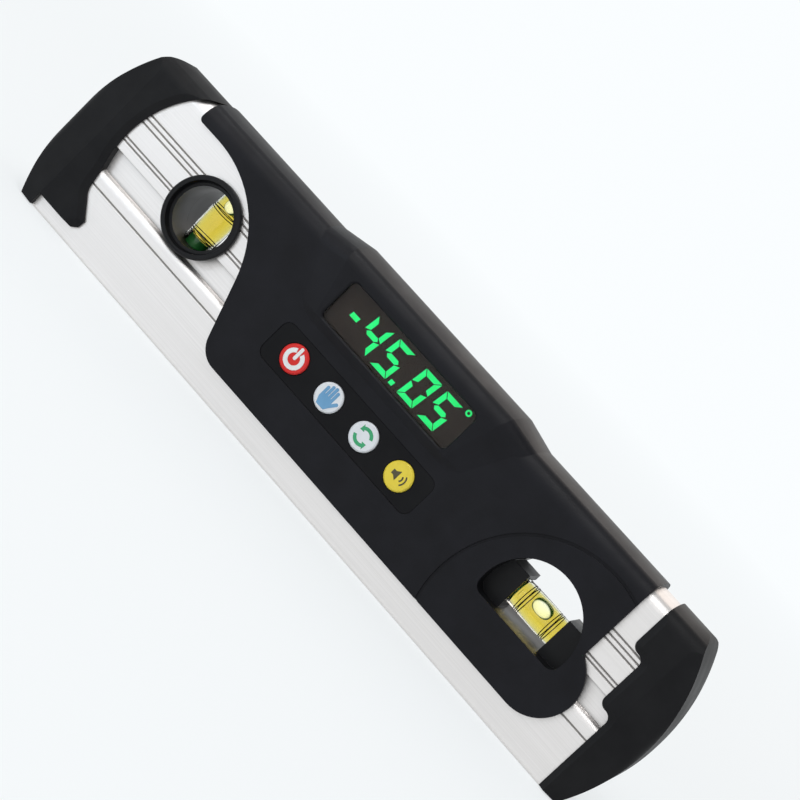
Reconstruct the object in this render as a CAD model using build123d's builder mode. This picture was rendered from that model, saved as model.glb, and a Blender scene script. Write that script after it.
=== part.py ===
# Digital spirit level: extruded beam, moulded covers, display, keys, two vials and end caps
# Millimetres. X runs along the level, the front faces -Y, the base lies at Z = 0.
import os
from math import acos, cos, degrees, radians, sin, sqrt, tan

from build123d import *

os.makedirs("parts", exist_ok=True)

# Overall sizes
LENGTH = 250.0
BEAM_WIDTH = 25.0
BEAM_HEIGHT = 61.0
FIT = 0.05              # gap between faces that seat on each other
SLIDE = 0.2             # gap round a piece that slides or drops in
STANDING = (Align.CENTER, Align.MIN)
HANGING = (Align.CENTER, Align.MAX)

# Beam section
WALL = 2.2
BEAM_FLOOR = 9.0        # top of the solid base
CAMBER = 40.0           # radius of the cambered top
TOP_EDGE = 4.0          # radius of the two upper edges
BASE_EDGE = 0.6
V_MOUTH = 13.0
V_DEPTH = 3.0
SHOULDER = 20.9         # where the rounded shoulder leaves the flat face
RECESS = 2.5            # depth of the finger recess
RECESS_TOP = 30.8
NOTCH_WIDTH = 0.7
NOTCH_DEPTH = 0.45
LOW_NOTCHES = (18.2,)
HIGH_NOTCHES = (33.8, 35.0, 41.4, 43.0, 44.6)

# Bar magnets in the base groove
MAGNET_LENGTH = 14.0
MAGNET_WIDTH = 6.0
MAGNET_THICK = 4.0
MAGNET_SUNK = 0.2
MAGNET_PITCH = 80.0

# End caps
CAP_DEPTH = 11.5        # beyond the end of the beam
CAP_SKIN = 1.7
CAP_TOP_SKIN = 0.9
CAP_BULGE_LESS = 1.0    # the rounded end's radius is less than the beam's height by this
CAP_BULGE_BELOW_TOP = 33.5
CAP_LIFT = 0.4          # keeps the caps clear of the surface under the base
CAP_TAPER = 3.0
CAP_CORNER = 4.0
LIP_RADIUS = 34.6       # the left lip runs round the plumb vial
LIP_TURN = 11.0         # this far below the plumb vial it leaves its circle
TOOTH_ROOT = (31.2, 19.7)           # outwards and below the plumb vial, as the next three
TOOTH_TIP = (24.8, 26.8)
TOOTH_NOSE = (25.1, 29.4)
TOOTH_TOE = (26.9, 30.9)
TOOTH_ROUND = 6.0
LIP_BEVEL_WIDTH = 2.2
LIP_BEVEL_DEPTH = 1.0
PLUG_DEPTH = 10.0
PLUG_FIT = 0.15
STEP_REACH = (23.5, 18.3, 13.0)     # right lip from the end: top, middle, bottom
STEP_LEVEL = (45.2, 28.0)
STEP_ROUND = 2.4

# Covers
SKIN = 1.5
COVER_BOTTOM = 8.8
TIP_FROM_END = 30.7
ARM_DROP = 6.5          # lower edge of the cover's arm below the top of the beam
ARC_RADIUS = 36.0
ARC_OFFSET = 12.9
ARC_LEAN = 20.7
HEEL_ROUND = 8.0
TIP_ROUND = 1.5
EDGE_FROM_END = 30.5
EAR_RADIUS = 13.0
EAR_OFFSET = 5.1
EAR_ROUND = 2.0
BEZEL_RISE = 1.6
CROWN_RISE = 2.3
CROWN_EDGE = 5.0
RAMP = 6.9
RAMP_SINK = 0.4
RAMP_LEAN = 29.0        # the ends of the housing lean outwards towards the top
BEZEL_LEAN = 15.0
BEZEL_BORDER = 0.3      # foot of the flat front beyond the window
BEZEL_DROP = 4.4        # bezel below the window
BEZEL_BEVEL = 3.6
RING_LINE_RADIUS = 35.8
RING_LINE_X = 9.0
RING_LINE_Z = -10.0
RING_LINE_WIDTH = 0.9
RING_LINE_DEPTH = 0.45

# Cover screws and their bosses: beside the door, above and below the level vial
DOOR_BOSS_X = 7.0
DOOR_BOSS_Z = 4.4
CORNER_BOSS_X = 12.5
CORNER_BOSS_Z = 9.0
EAR_BOSS_X = 16.0
EAR_BOSS_Z = 5.4
BOSS_RADIUS = 2.8
BOSS_CLEAR = 0.4
BOSS_MEET = 2.0         # the bosses meet behind the middle
SHANK_RADIUS = 1.3
PILOT_CLEAR = 0.05
SHANK_CLEAR = 0.15
COVER_SHANK = 17.0
HEAD_RADIUS = 2.4
HEAD_THICK = 1.6
HEAD_SUNK = 2.0
PILOT_SPARE = 1.0

# Display stack
WINDOW_WIDTH = 53.0
WINDOW_HEIGHT = 14.0
WINDOW_BELOW_TOP = 11.2
WINDOW_CORNER = 2.0
WINDOW_BEVEL = 0.5
BEZEL_LIP = 0.9
LENS_MARGIN_X = 1.2
LENS_MARGIN_Z = 1.0
LENS_THICK = 1.5
GASKET_THICK = 0.8
GASKET_MARGIN = 0.3
PANEL_THICK = 1.6
BACKLIGHT_THICK = 1.6
PIN_GAP = 1.85          # backlight to board, bridged by the pin strips
PIN_STRIP = 1.5

# Circuit board
BOARD_THICK = 1.6
BOARD_MARGIN = 5.0      # board beyond the window and the keypad's flange
BOARD_TOP_GAP = 2.6
BOARD_BELOW_KEYS = 8.5
BOARD_POST = 4.4        # square posts of the front cover that carry the board
BOARD_POST_INSET = 2.5
BOARD_SHANK_RADIUS = 0.9
BOARD_SHANK = 3.4
BOARD_HEAD_RADIUS = 1.8
BOARD_HEAD_THICK = 1.3
POCKET_MARGIN = 2.0
POCKET_CORNER = 3.0
CHIP = 9.0
CHIP_THICK = 1.2
SENSOR_WIDTH = 8.0
SENSOR_THICK = 2.4
BUZZER_RADIUS = 6.0
BUZZER_THICK = 3.0

# Keys
KEYPAD_WIDTH = 65.0
KEYPAD_HEIGHT = 13.7
KEYPAD_CORNER = 3.0
KEYPAD_BELOW_TOP = 32.5
KEYPAD_SUNK = 0.15
KEYPAD_FLANGE = 1.5
KEYPAD_FLANGE_THICK = 1.0
BUTTON_DIAMETER = 9.0
BUTTON_PITCH = 15.2
BUTTON_PROUD = 0.5
BUTTON_EDGE = 0.4
BUTTON_FLANGE = 0.8
BUTTON_FLANGE_THICK = 0.8
BUTTON_STEM = 3.0
BUTTON_TRAVEL = 0.5
SWITCH_WIDTH = 6.0
SWITCH_THICK = 1.5
SWITCH_PLUNGER = 2.6
SWITCH_RISE = 0.6
SWITCH_REST = 0.1       # room left under a pressed key

# Vials
VIAL_DIAMETER = 9.6
VIAL_BARREL = 0.4       # the ends are this much smaller in radius
VIAL_WALL = 1.2
VIAL_PLUG_LAND = 0.25
BUBBLE_LENGTH = 7.0
BUBBLE_RADIUS = 2.0
BUBBLE_CLEAR = 0.15
LEVEL_FROM_END = 49.0
LEVEL_BELOW_TOP = 31.0
LEVEL_LENGTH = 27.0
LEVEL_PLUG = 5.5        # at the left end
LEVEL_TRAVEL = 4.0
PLUMB_FROM_END = 52.2
PLUMB_BELOW_TOP = 25.5
PLUMB_LENGTH = 20.8
PLUMB_PLUG = 4.0        # at the lower end
PLUMB_BUBBLE_LENGTH = 4.6
PLUMB_TRAVEL = 5.2

# Level vial opening, its lining and cradle
OPENING_RADIUS = 16.5
OPENING_DROP = 1.6      # centre of the arch below the vial's axis
OPENING_FLOOR_GAP = 1.6
OPENING_CORNER = 3.0
LINER_WALL = 1.5
CRADLE_REACH = 8.3      # half of the clear length of the vial
CRADLE_WALL = 2.3
CRADLE_TOP = 1.4
CRADLE_SNAP = 0.5       # the slots grip the vial by this much above and below

# Plumb vial rings
RING_RADIUS = 12.5
RING_PROUD = 1.6
RING_MOUTH = 11.0
RING_STEP = 2.0         # depth of the shelf inside the mouth
RING_SHELF = 10.4
RING_EDGE = 0.4
TUBE_RADIUS = 11.1
TUBE_BORE = 9.5

# Batteries and their door
BATTERY_RADIUS = 5.25
BATTERY_LENGTH = 44.5
CELL_EDGE = 0.4
NUB_RADIUS = 1.9
NUB_LENGTH = 0.8
BATTERY_PITCH = 11.8
SPRING_LENGTH = 5.2
CONTACT_THICK = 0.4
CONTACT_WIDTH = 7.4
LEAF_WIDTH = 5.0
TRAY_WALL = 1.1
TRAY_RIM = 2.0
RIM_THICK = 2.2
DOOR_WIDTH = 66.0
DOOR_HEIGHT = 25.0
DOOR_THICK = 2.0
DOOR_CORNER = 3.0
DOOR_FROM_BOTTOM = 3.7
SEAL_THICK = 0.8
SEAL_WIDTH = 1.0
DOOR_SCREW_INSET = 3.0
DOOR_SHANK_RADIUS = 1.0
DOOR_SHANK = 4.4
DOOR_HEAD_RADIUS = 2.0
DOOR_HEAD_THICK = 1.1
DOOR_HEAD_SUNK = 1.2
DOOR_BOSS = 4.8

# Places that follow from the sizes above
HALF = LENGTH / 2
BEAM_END = HALF - CAP_DEPTH
BEAM_FACE = BEAM_WIDTH / 2
RECESS_FACE = BEAM_FACE - RECESS
CAMBER_Z = BEAM_HEIGHT - CAMBER
COVER_INNER = BEAM_FACE + FIT
COVER_FACE = COVER_INNER + SKIN
COVER_TOP = BEAM_HEIGHT + FIT + SKIN
COVER_EDGE = TOP_EDGE + FIT + SKIN
BEZEL_FACE = COVER_FACE + BEZEL_RISE
CROWN_TOP = COVER_TOP + CROWN_RISE
CAP_FACE = BEAM_FACE + FIT + CAP_SKIN
CAP_TOP = BEAM_HEIGHT + FIT + CAP_TOP_SKIN
CAP_BULGE = BEAM_HEIGHT - CAP_BULGE_LESS
CAP_BULGE_Z = BEAM_HEIGHT - CAP_BULGE_BELOW_TOP
CAP_EDGE = TOP_EDGE + FIT + CAP_TOP_SKIN
PLUG_WIDTH = 2 * (RECESS_FACE - WALL - PLUG_FIT)
PLUG_TOP = CAMBER_Z + sqrt((CAMBER - WALL)**2 - (PLUG_WIDTH / 2)**2)
PLUG_HEIGHT = PLUG_TOP - BEAM_FLOOR - 2 * PLUG_FIT
PLUMB_X = PLUMB_FROM_END - HALF
PLUMB_Z = BEAM_HEIGHT - PLUMB_BELOW_TOP
LIP_LOW = PLUMB_Z - TOOTH_TOE[1]
LEVEL_X = HALF - LEVEL_FROM_END
LEVEL_Z = BEAM_HEIGHT - LEVEL_BELOW_TOP
WINDOW_Z = BEAM_HEIGHT - WINDOW_BELOW_TOP
KEYPAD_Z = BEAM_HEIGHT - KEYPAD_BELOW_TOP
BEZEL_HALF = WINDOW_WIDTH / 2 + BEZEL_BORDER
BEZEL_LOW = WINDOW_Z - WINDOW_HEIGHT / 2 - BEZEL_DROP
LENS_FACE = BEZEL_FACE - BEZEL_LIP
LENS_WIDTH = WINDOW_WIDTH + 2 * LENS_MARGIN_X
LENS_HEIGHT = WINDOW_HEIGHT + 2 * LENS_MARGIN_Z
SEAL_FACE = LENS_FACE - LENS_THICK
PANEL_FACE = SEAL_FACE - GASKET_THICK
LAMP_FACE = PANEL_FACE - PANEL_THICK
LAMP_BACK = LAMP_FACE - BACKLIGHT_THICK
BOARD_FRONT = LAMP_BACK - PIN_GAP
BOARD_BACK = BOARD_FRONT - BOARD_THICK
FLANGE_WIDTH = KEYPAD_WIDTH + 2 * KEYPAD_FLANGE
FLANGE_HEIGHT = KEYPAD_HEIGHT + 2 * KEYPAD_FLANGE
BOARD_WIDTH = max(LENS_WIDTH, FLANGE_WIDTH) + 2 * BOARD_MARGIN
BOARD_TOP = BEAM_HEIGHT - WALL - BOARD_TOP_GAP
BOARD_LOW = KEYPAD_Z - BOARD_BELOW_KEYS
BOARD_HOLE_X = BOARD_WIDTH / 2 - BOARD_POST_INSET
BOARD_HOLE_Z = (BOARD_LOW + BOARD_TOP) / 2
BOARD_HOLES = [(-BOARD_HOLE_X, BOARD_HOLE_Z), (BOARD_HOLE_X, BOARD_HOLE_Z)]
POCKET_LOW = BOARD_LOW - POCKET_MARGIN
POCKET_FACE = min(BOARD_FRONT, RECESS_FACE - WALL) - FIT
BUTTON_RADIUS = BUTTON_DIAMETER / 2
SWITCH_TOP = BOARD_FRONT + SWITCH_THICK + SWITCH_RISE
STEM_END = SWITCH_TOP + BUTTON_TRAVEL + SWITCH_REST
VIAL_RADIUS = VIAL_DIAMETER / 2
BORE_RADIUS = VIAL_RADIUS - VIAL_WALL
PLUG_LAND = BORE_RADIUS - VIAL_BARREL + VIAL_PLUG_LAND
LEVEL_BUBBLE_Z = LEVEL_Z + BORE_RADIUS - 2 * BUBBLE_CLEAR - BUBBLE_RADIUS
PLUMB_BUBBLE_Z = PLUMB_Z + PLUMB_LENGTH / 2 - VIAL_WALL - BUBBLE_CLEAR - PLUMB_BUBBLE_LENGTH / 2
OPENING_Z = LEVEL_Z - OPENING_DROP
OPENING_FLOOR = LEVEL_Z - VIAL_RADIUS - OPENING_FLOOR_GAP
DOOR_Z = COVER_BOTTOM + DOOR_FROM_BOTTOM + DOOR_HEIGHT / 2
DOOR_BACK = COVER_FACE - DOOR_THICK
SEAT_FACE = DOOR_BACK - SEAL_THICK
BATTERY_Y = SEAT_FACE - BATTERY_RADIUS - SLIDE
BAY_RADIUS = BATTERY_RADIUS + SLIDE
BAY_LENGTH = BATTERY_LENGTH + SPRING_LENGTH + 2 * CONTACT_THICK
BAY_HEIGHT = BATTERY_PITCH + 2 * BAY_RADIUS
TRAY_LENGTH = BAY_LENGTH + 2 * TRAY_WALL
TRAY_BACK = BATTERY_Y - BAY_RADIUS - TRAY_WALL
DOOR_SCREW_X = DOOR_WIDTH / 2 - DOOR_SCREW_INSET
DOOR_HOLES = [(-DOOR_SCREW_X, DOOR_Z), (DOOR_SCREW_X, DOOR_Z)]
CELL_PLACES = [(BATTERY_Y, DOOR_Z - BATTERY_PITCH / 2), (BATTERY_Y, DOOR_Z + BATTERY_PITCH / 2)]
NUB_END = BATTERY_LENGTH + SPRING_LENGTH
RIM_WIDTH = DOOR_WIDTH + 2 * TRAY_RIM
RIM_HEIGHT = DOOR_HEIGHT + TRAY_RIM

COVER_BOSSES = (
    (-DOOR_WIDTH / 2 - DOOR_BOSS_X, COVER_BOTTOM + DOOR_BOSS_Z),
    (LEVEL_X + CORNER_BOSS_X, BEAM_HEIGHT - CORNER_BOSS_Z),
    (LEVEL_X + EAR_BOSS_X, COVER_BOTTOM + EAR_BOSS_Z),
)


def front(depth):
    # Plane across the level, this far in front of its middle; a sketch on it has X and Z
    return Plane.XZ.offset(depth)


def beam_profile(grow, fine):
    # Section of the beam; fine adds the scored lines and the groove of the base
    face = BEAM_FACE + grow
    floor = RECESS_FACE + grow
    shoulder = RECESS + grow
    turn = degrees(acos(grow / shoulder))
    low_marks = LOW_NOTCHES if fine else ()
    high_marks = HIGH_NOTCHES if fine else ()
    if fine:
        flat = V_MOUTH / 2 - V_DEPTH
        side = [(0, V_DEPTH), (flat, V_DEPTH), (V_MOUTH / 2, 0), (face - BASE_EDGE, 0), (face, BASE_EDGE)]
    else:
        side = [(0, -BEAM_FLOOR), (face, -BEAM_FLOOR)]
    for mark in low_marks:
        side += [(face, mark - NOTCH_WIDTH / 2), (face - NOTCH_DEPTH, mark), (face, mark + NOTCH_WIDTH / 2)]
    side += [(face, SHOULDER)]
    upper = [(floor, SHOULDER + shoulder * sin(radians(turn))), (floor, RECESS_TOP - grow)]
    upper += [(face, RECESS_TOP - grow)]
    for mark in high_marks:
        upper += [(face, mark - NOTCH_WIDTH / 2), (face - NOTCH_DEPTH, mark), (face, mark + NOTCH_WIDTH / 2)]
    upper += [(face, BEAM_HEIGHT + TOP_EDGE), (0, BEAM_HEIGHT + TOP_EDGE)]
    with BuildSketch() as profile:
        with BuildLine():
            Polyline(*side)
            CenterArc((RECESS_FACE, SHOULDER), shoulder, 0, turn)
            Polyline(*upper)
            mirror(about=Plane.YZ)
        make_face()
        with Locations((0, CAMBER_Z)):
            Circle(CAMBER + grow, mode=Mode.INTERSECT)
        fillet(profile.vertices().group_by(Axis.Y)[-1], TOP_EDGE + grow)
    return profile.sketch


def beam_cavity():
    # Hollow of the beam, narrower behind the finger recess
    wide = BEAM_FACE - WALL
    narrow = RECESS_FACE - WALL
    half = [(0, BEAM_FLOOR), (wide, BEAM_FLOOR), (wide, SHOULDER - WALL), (narrow, SHOULDER)]
    half += [(narrow, RECESS_TOP + WALL), (wide, RECESS_TOP + WALL)]
    half += [(wide, BEAM_HEIGHT), (0, BEAM_HEIGHT)]
    with BuildSketch() as cavity:
        with BuildLine():
            Polyline(*half)
            mirror(about=Plane.YZ)
        make_face()
        with Locations((0, CAMBER_Z)):
            Circle(CAMBER - WALL, mode=Mode.INTERSECT)
        fillet(cavity.vertices().group_by(Axis.Y)[-1], TOP_EDGE - WALL)
    return cavity.sketch


def rounded_top(face, top, edge):
    # Upright section with a cambered top and two rounded upper edges, for the covers and caps
    with BuildSketch() as section:
        Rectangle(2 * face, 3 * top)
        with Locations((0, CAMBER_Z)):
            Circle(top - CAMBER_Z, mode=Mode.INTERSECT)
        fillet(section.vertices().group_by(Axis.Y)[-1], edge)
    return section.sketch


def end_cap(lip, low):
    # Cap of the right end: rounded outside, lip of the given outline bevelled above low, plug in the beam
    with BuildPart() as cap:
        with BuildSketch(Plane.XZ) as side:
            with Locations((HALF, CAP_LIFT)):
                Rectangle(HALF, CAP_TOP + FIT - CAP_LIFT, align=(Align.MAX, Align.MIN))
            with Locations((HALF - CAP_BULGE, CAP_BULGE_Z)):
                Circle(CAP_BULGE, mode=Mode.INTERSECT)
            fillet(side.vertices().sort_by_distance((HALF, CAP_TOP))[0], CAP_CORNER)
            add(lip, mode=Mode.INTERSECT)
        extrude(amount=CAP_FACE, both=True)
        for side_face in (0, -1):
            face = cap.faces().group_by(Axis.Y)[side_face][0]
            rim = face.edges().filter_by(lambda e: e.center().X < BEAM_END - FIT)
            rim = rim.filter_by(lambda e: low + FIT < e.center().Z < CAP_TOP - FIT)
            chamfer(rim, LIP_BEVEL_WIDTH, LIP_BEVEL_DEPTH, reference=face)
        with BuildSketch(Plane.XY) as plan:
            with BuildLine():
                Polyline((0, 0), (0, CAP_FACE), (BEAM_END, CAP_FACE), (HALF, CAP_FACE - CAP_TAPER), (HALF, 0))
                mirror(about=Plane.XZ)
            make_face()
            fillet(plan.vertices().group_by(Axis.X)[-1], CAP_CORNER)
        extrude(amount=2 * CAP_TOP, both=True, mode=Mode.INTERSECT)
        with BuildSketch(Plane.YZ):
            add(rounded_top(CAP_FACE, CAP_TOP, CAP_EDGE))
        extrude(amount=LENGTH, mode=Mode.INTERSECT)
        with BuildSketch(Plane.YZ.offset(BEAM_END)):
            add(beam_profile(FIT, False))
        extrude(amount=-BEAM_END, mode=Mode.SUBTRACT)
        with BuildSketch(Plane.YZ.offset(BEAM_END)):
            with Locations((0, BEAM_FLOOR + PLUG_FIT)):
                Rectangle(PLUG_WIDTH, PLUG_HEIGHT, align=STANDING)
        extrude(amount=-PLUG_DEPTH)
    return cap.part


def vial_opening(grow):
    # Arched opening of the level vial with a flat floor
    with BuildSketch() as opening:
        with Locations((LEVEL_X, OPENING_Z)):
            Circle(OPENING_RADIUS + grow)
        with Locations((LEVEL_X, OPENING_FLOOR - grow)):
            Rectangle(4 * OPENING_RADIUS, 2 * OPENING_RADIUS, align=HANGING, mode=Mode.SUBTRACT)
        fillet(opening.vertices(), OPENING_CORNER)
    return opening.sketch


def cover_outline():
    # Outline of both covers: arm over the plumb vial, long arc, heel, ear and right edge
    tip = TIP_FROM_END - HALF
    arm = BEAM_HEIGHT - ARM_DROP
    arc_x = PLUMB_X - ARC_OFFSET
    arc_z = arm - ARC_RADIUS
    end_x = arc_x + ARC_RADIUS * cos(radians(ARC_LEAN))
    end_z = arc_z + ARC_RADIUS * sin(radians(ARC_LEAN))
    heel_x = end_x + (end_z - COVER_BOTTOM) * tan(radians(ARC_LEAN))
    edge_x = HALF - EDGE_FROM_END
    ear_x = edge_x - EAR_OFFSET
    ear_z = COVER_BOTTOM + EAR_RADIUS
    ear_turn = degrees(acos(EAR_OFFSET / EAR_RADIUS))
    ear_end = ear_z + EAR_RADIUS * sin(radians(ear_turn))
    with BuildSketch() as outline:
        with BuildLine():
            Polyline((edge_x, ear_end), (edge_x, CROWN_TOP), (tip, CROWN_TOP), (tip, arm), (arc_x, arm))
            CenterArc((arc_x, arc_z), ARC_RADIUS, 90, ARC_LEAN - 90)
            Polyline((end_x, end_z), (heel_x, COVER_BOTTOM), (ear_x, COVER_BOTTOM))
            CenterArc((ear_x, ear_z), EAR_RADIUS, -90, 90 + ear_turn)
        make_face()
        fillet(outline.vertices().sort_by_distance((tip, arm))[0], TIP_ROUND)
        fillet(outline.vertices().sort_by_distance((heel_x, COVER_BOTTOM))[0], HEEL_ROUND)
        fillet(outline.vertices().sort_by_distance((edge_x, ear_end))[0], EAR_ROUND)
    return outline.sketch


def leaning(foot, lean):
    # Upright plane across the level with its foot at the bezel's lower edge, leaning outwards towards the top
    turn = radians(lean) if foot < 0 else -radians(lean)
    return Plane(origin=(foot, 0, BEZEL_LOW), x_dir=(0, 1, 0), z_dir=(cos(turn), 0, sin(turn)))


def housing_section(face, top, edge, lean):
    # Section of the raised display housing on a leaning plane
    root = COVER_FACE - 2 * RAMP_SINK
    height = (top - BEZEL_LOW) / cos(radians(lean))
    bevel = BEZEL_BEVEL / cos(radians(lean))
    camber = (top - CAMBER_Z) * cos(radians(lean))
    high = height + edge
    with BuildSketch() as section:
        with BuildLine():
            Polyline((0, high), (0, 0), (-root, 0), (-face, bevel), (-face, high), (0, high))
        make_face()
        with Locations((0, height - camber)):
            Circle(camber, mode=Mode.INTERSECT)
        fillet(section.vertices().sort_by_distance((-face, height))[0], edge)
    return section.sketch


def vial_section(length, outer, bore):
    # Half section of a barrel shaped vial along the first axis of its plane
    rim = outer - VIAL_BARREL
    with BuildSketch() as half:
        with BuildLine():
            ThreePointArc((-length / 2, rim), (0, outer), (length / 2, rim))
            Polyline((length / 2, rim), (length / 2, 0), (-length / 2, 0), (-length / 2, rim))
        make_face()
        add(bore, mode=Mode.SUBTRACT)
    return half.sketch


def spirit_section(length, plug, shrink):
    # Half section of the filled bore, between the closed end and the plug
    first = -length / 2 + VIAL_WALL + shrink
    last = length / 2 - plug - shrink
    rim = BORE_RADIUS - VIAL_BARREL - shrink
    with BuildSketch() as half:
        with BuildLine():
            ThreePointArc((first, rim), ((first + last) / 2, BORE_RADIUS - shrink), (last, rim))
            Polyline((last, rim), (last, 0), (first, 0), (first, rim))
        make_face()
    return half.sketch


def bore_section(length, plug):
    # Half section of the whole bore, with the wider land of the plug
    with BuildSketch() as half:
        add(spirit_section(length, plug, 0))
        with Locations((length / 2, 0)):
            Rectangle(plug, PLUG_LAND, align=(Align.MAX, Align.MIN))
    return half.sketch


def bubble_section(length):
    # Half section of a bubble with round ends
    straight = length / 2 - BUBBLE_RADIUS
    with BuildSketch() as half:
        with BuildLine():
            CenterArc((-straight, 0), BUBBLE_RADIUS, 180, -90)
            Line((-straight, BUBBLE_RADIUS), (straight, BUBBLE_RADIUS))
            CenterArc((straight, 0), BUBBLE_RADIUS, 90, -90)
            Line((length / 2, 0), (-length / 2, 0))
        make_face()
    return half.sketch


LEVEL_PLANE = Plane(origin=(LEVEL_X, 0, LEVEL_Z), x_dir=(-1, 0, 0), z_dir=(0, 1, 0))
PLUMB_PLANE = Plane(origin=(PLUMB_X, 0, PLUMB_Z), x_dir=(0, 0, -1), z_dir=(0, -1, 0))
LEVEL_BUBBLE_PLANE = Plane(origin=(LEVEL_X, 0, LEVEL_BUBBLE_Z), x_dir=(1, 0, 0), z_dir=(0, -1, 0))
PLUMB_BUBBLE_PLANE = Plane(origin=(PLUMB_X, 0, PLUMB_BUBBLE_Z), x_dir=(0, 0, 1), z_dir=(0, -1, 0))
LEVEL_AXIS = Axis((LEVEL_X, 0, LEVEL_Z), (1, 0, 0))
PLUMB_AXIS = Axis((PLUMB_X, 0, PLUMB_Z), (0, 0, 1))

# Beam: extruded section, then machined for the vials, electronics, battery tray and screws
with BuildPart() as beam:
    with BuildSketch(Plane.YZ):
        add(beam_profile(0, True))
        add(beam_cavity(), mode=Mode.SUBTRACT)
    extrude(amount=BEAM_END, both=True)
    with BuildSketch(Plane.XZ):
        with Locations((PLUMB_X, PLUMB_Z)):
            Circle(TUBE_RADIUS + FIT)
        add(vial_opening(LINER_WALL + FIT))
        with Locations(*COVER_BOSSES):
            Circle(BOSS_RADIUS + BOSS_CLEAR)
    extrude(amount=BEAM_WIDTH, both=True, mode=Mode.SUBTRACT)
    with BuildSketch(front(POCKET_FACE)) as pocket:
        with Locations((0, POCKET_LOW)):
            Rectangle(BOARD_WIDTH + 2 * POCKET_MARGIN, BEAM_HEIGHT, align=STANDING)
        fillet(pocket.vertices().group_by(Axis.Y)[0], POCKET_CORNER)
    extrude(amount=BEAM_WIDTH, mode=Mode.SUBTRACT)
    with BuildSketch(front(-POCKET_FACE)):
        with Locations((0, DOOR_Z)):
            RectangleRounded(RIM_WIDTH + 2 * SLIDE, RIM_HEIGHT + 2 * SLIDE, DOOR_CORNER)
    extrude(amount=-BEAM_WIDTH, mode=Mode.SUBTRACT)
    with BuildSketch(Plane.XY.offset(V_DEPTH)):
        with GridLocations(MAGNET_PITCH, 0, 3, 1):
            Rectangle(MAGNET_LENGTH + 2 * FIT, MAGNET_WIDTH + 2 * FIT)
    extrude(amount=MAGNET_THICK + MAGNET_SUNK + FIT, mode=Mode.SUBTRACT)
beam.part.label = "beam"
export_step(beam.part, "parts/beam.step")

# Magnets pressed into the flat of the groove
with BuildPart() as base_magnets:
    with BuildSketch(Plane.XY.offset(V_DEPTH + MAGNET_SUNK)):
        with GridLocations(MAGNET_PITCH, 0, 3, 1):
            Rectangle(MAGNET_LENGTH, MAGNET_WIDTH)
    extrude(amount=MAGNET_THICK)
base_magnets.part.label = "base_magnets"
export_step(base_magnets.part, "parts/base_magnets.step")

# Left end cap: its lip runs round the plumb vial and ends in a tooth
with BuildSketch(Plane.XZ) as left_lip:
    turn_z = PLUMB_Z - LIP_TURN
    with Locations((HALF, turn_z)):
        Rectangle(HALF + PLUMB_X, 2 * HALF, align=(Align.MAX, Align.MIN))
    with Locations((-PLUMB_X, PLUMB_Z)):
        Circle(LIP_RADIUS, mode=Mode.SUBTRACT)
    tooth = [(HALF, turn_z), (sqrt(LIP_RADIUS**2 - LIP_TURN**2) - PLUMB_X, turn_z)]
    tooth += [(out - PLUMB_X, PLUMB_Z - down) for out, down in (TOOTH_ROOT, TOOTH_TIP, TOOTH_NOSE, TOOTH_TOE)]
    tooth += [(HALF, LIP_LOW)]
    Polygon(*tooth, align=None)
    with Locations((HALF, 0)):
        Rectangle(CAP_DEPTH, HALF, align=(Align.MAX, Align.CENTER))
    fillet(left_lip.vertices().sort_by_distance(tooth[2])[0], TOOTH_ROUND)

with BuildPart() as left_end_cap:
    add(end_cap(left_lip.sketch, LIP_LOW).mirror(Plane.YZ))
left_end_cap.part.label = "left_end_cap"
export_step(left_end_cap.part, "parts/left_end_cap.step")

# Right end cap: its lip steps back twice on the way down
with BuildSketch(Plane.XZ) as right_lip:
    with Locations((HALF, 0)):
        Rectangle(STEP_REACH[0], 2 * HALF, align=(Align.MAX, Align.CENTER))
    for reach, height in zip(STEP_REACH[1:], STEP_LEVEL):
        with Locations((HALF - reach, height)):
            Rectangle(HALF, 2 * HALF, align=(Align.MAX, Align.MAX), mode=Mode.SUBTRACT)
    for reach, height in zip(STEP_REACH, STEP_LEVEL):
        fillet(right_lip.vertices().sort_by_distance((HALF - reach, height))[0], STEP_ROUND)
    for reach, height in zip(STEP_REACH[1:], STEP_LEVEL):
        fillet(right_lip.vertices().sort_by_distance((HALF - reach, height))[0], STEP_ROUND)

with BuildPart() as right_end_cap:
    add(end_cap(right_lip.sketch, CAP_LIFT))
right_end_cap.part.label = "right_end_cap"
export_step(right_end_cap.part, "parts/right_end_cap.step")

# Moulded shell that both covers start from: front half, up to the parting line along the top
with BuildPart() as cover_shell:
    with BuildSketch(Plane.XZ):
        add(cover_outline())
    extrude(amount=COVER_FACE)
    with BuildSketch(Plane.YZ):
        add(rounded_top(COVER_FACE, COVER_TOP, COVER_EDGE))
    extrude(amount=HALF, both=True, mode=Mode.INTERSECT)
    with BuildSketch(leaning(-BEZEL_HALF - RAMP, RAMP_LEAN)):
        add(housing_section(COVER_FACE - RAMP_SINK, COVER_TOP - RAMP_SINK, COVER_EDGE, RAMP_LEAN))
    with BuildSketch(leaning(-BEZEL_HALF, BEZEL_LEAN)):
        add(housing_section(BEZEL_FACE, CROWN_TOP, CROWN_EDGE, BEZEL_LEAN))
    with BuildSketch(leaning(BEZEL_HALF, BEZEL_LEAN)):
        add(housing_section(BEZEL_FACE, CROWN_TOP, CROWN_EDGE, BEZEL_LEAN))
    with BuildSketch(leaning(BEZEL_HALF + RAMP, RAMP_LEAN)):
        add(housing_section(COVER_FACE - RAMP_SINK, COVER_TOP - RAMP_SINK, COVER_EDGE, RAMP_LEAN))
    loft(ruled=True)
    with BuildSketch(Plane.YZ):
        add(rounded_top(COVER_INNER, BEAM_HEIGHT + FIT, TOP_EDGE + FIT))
    extrude(amount=HALF, both=True, mode=Mode.SUBTRACT)
    with BuildSketch(Plane.XZ):
        add(vial_opening(0))
    extrude(amount=2 * COVER_FACE, mode=Mode.SUBTRACT)

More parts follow.
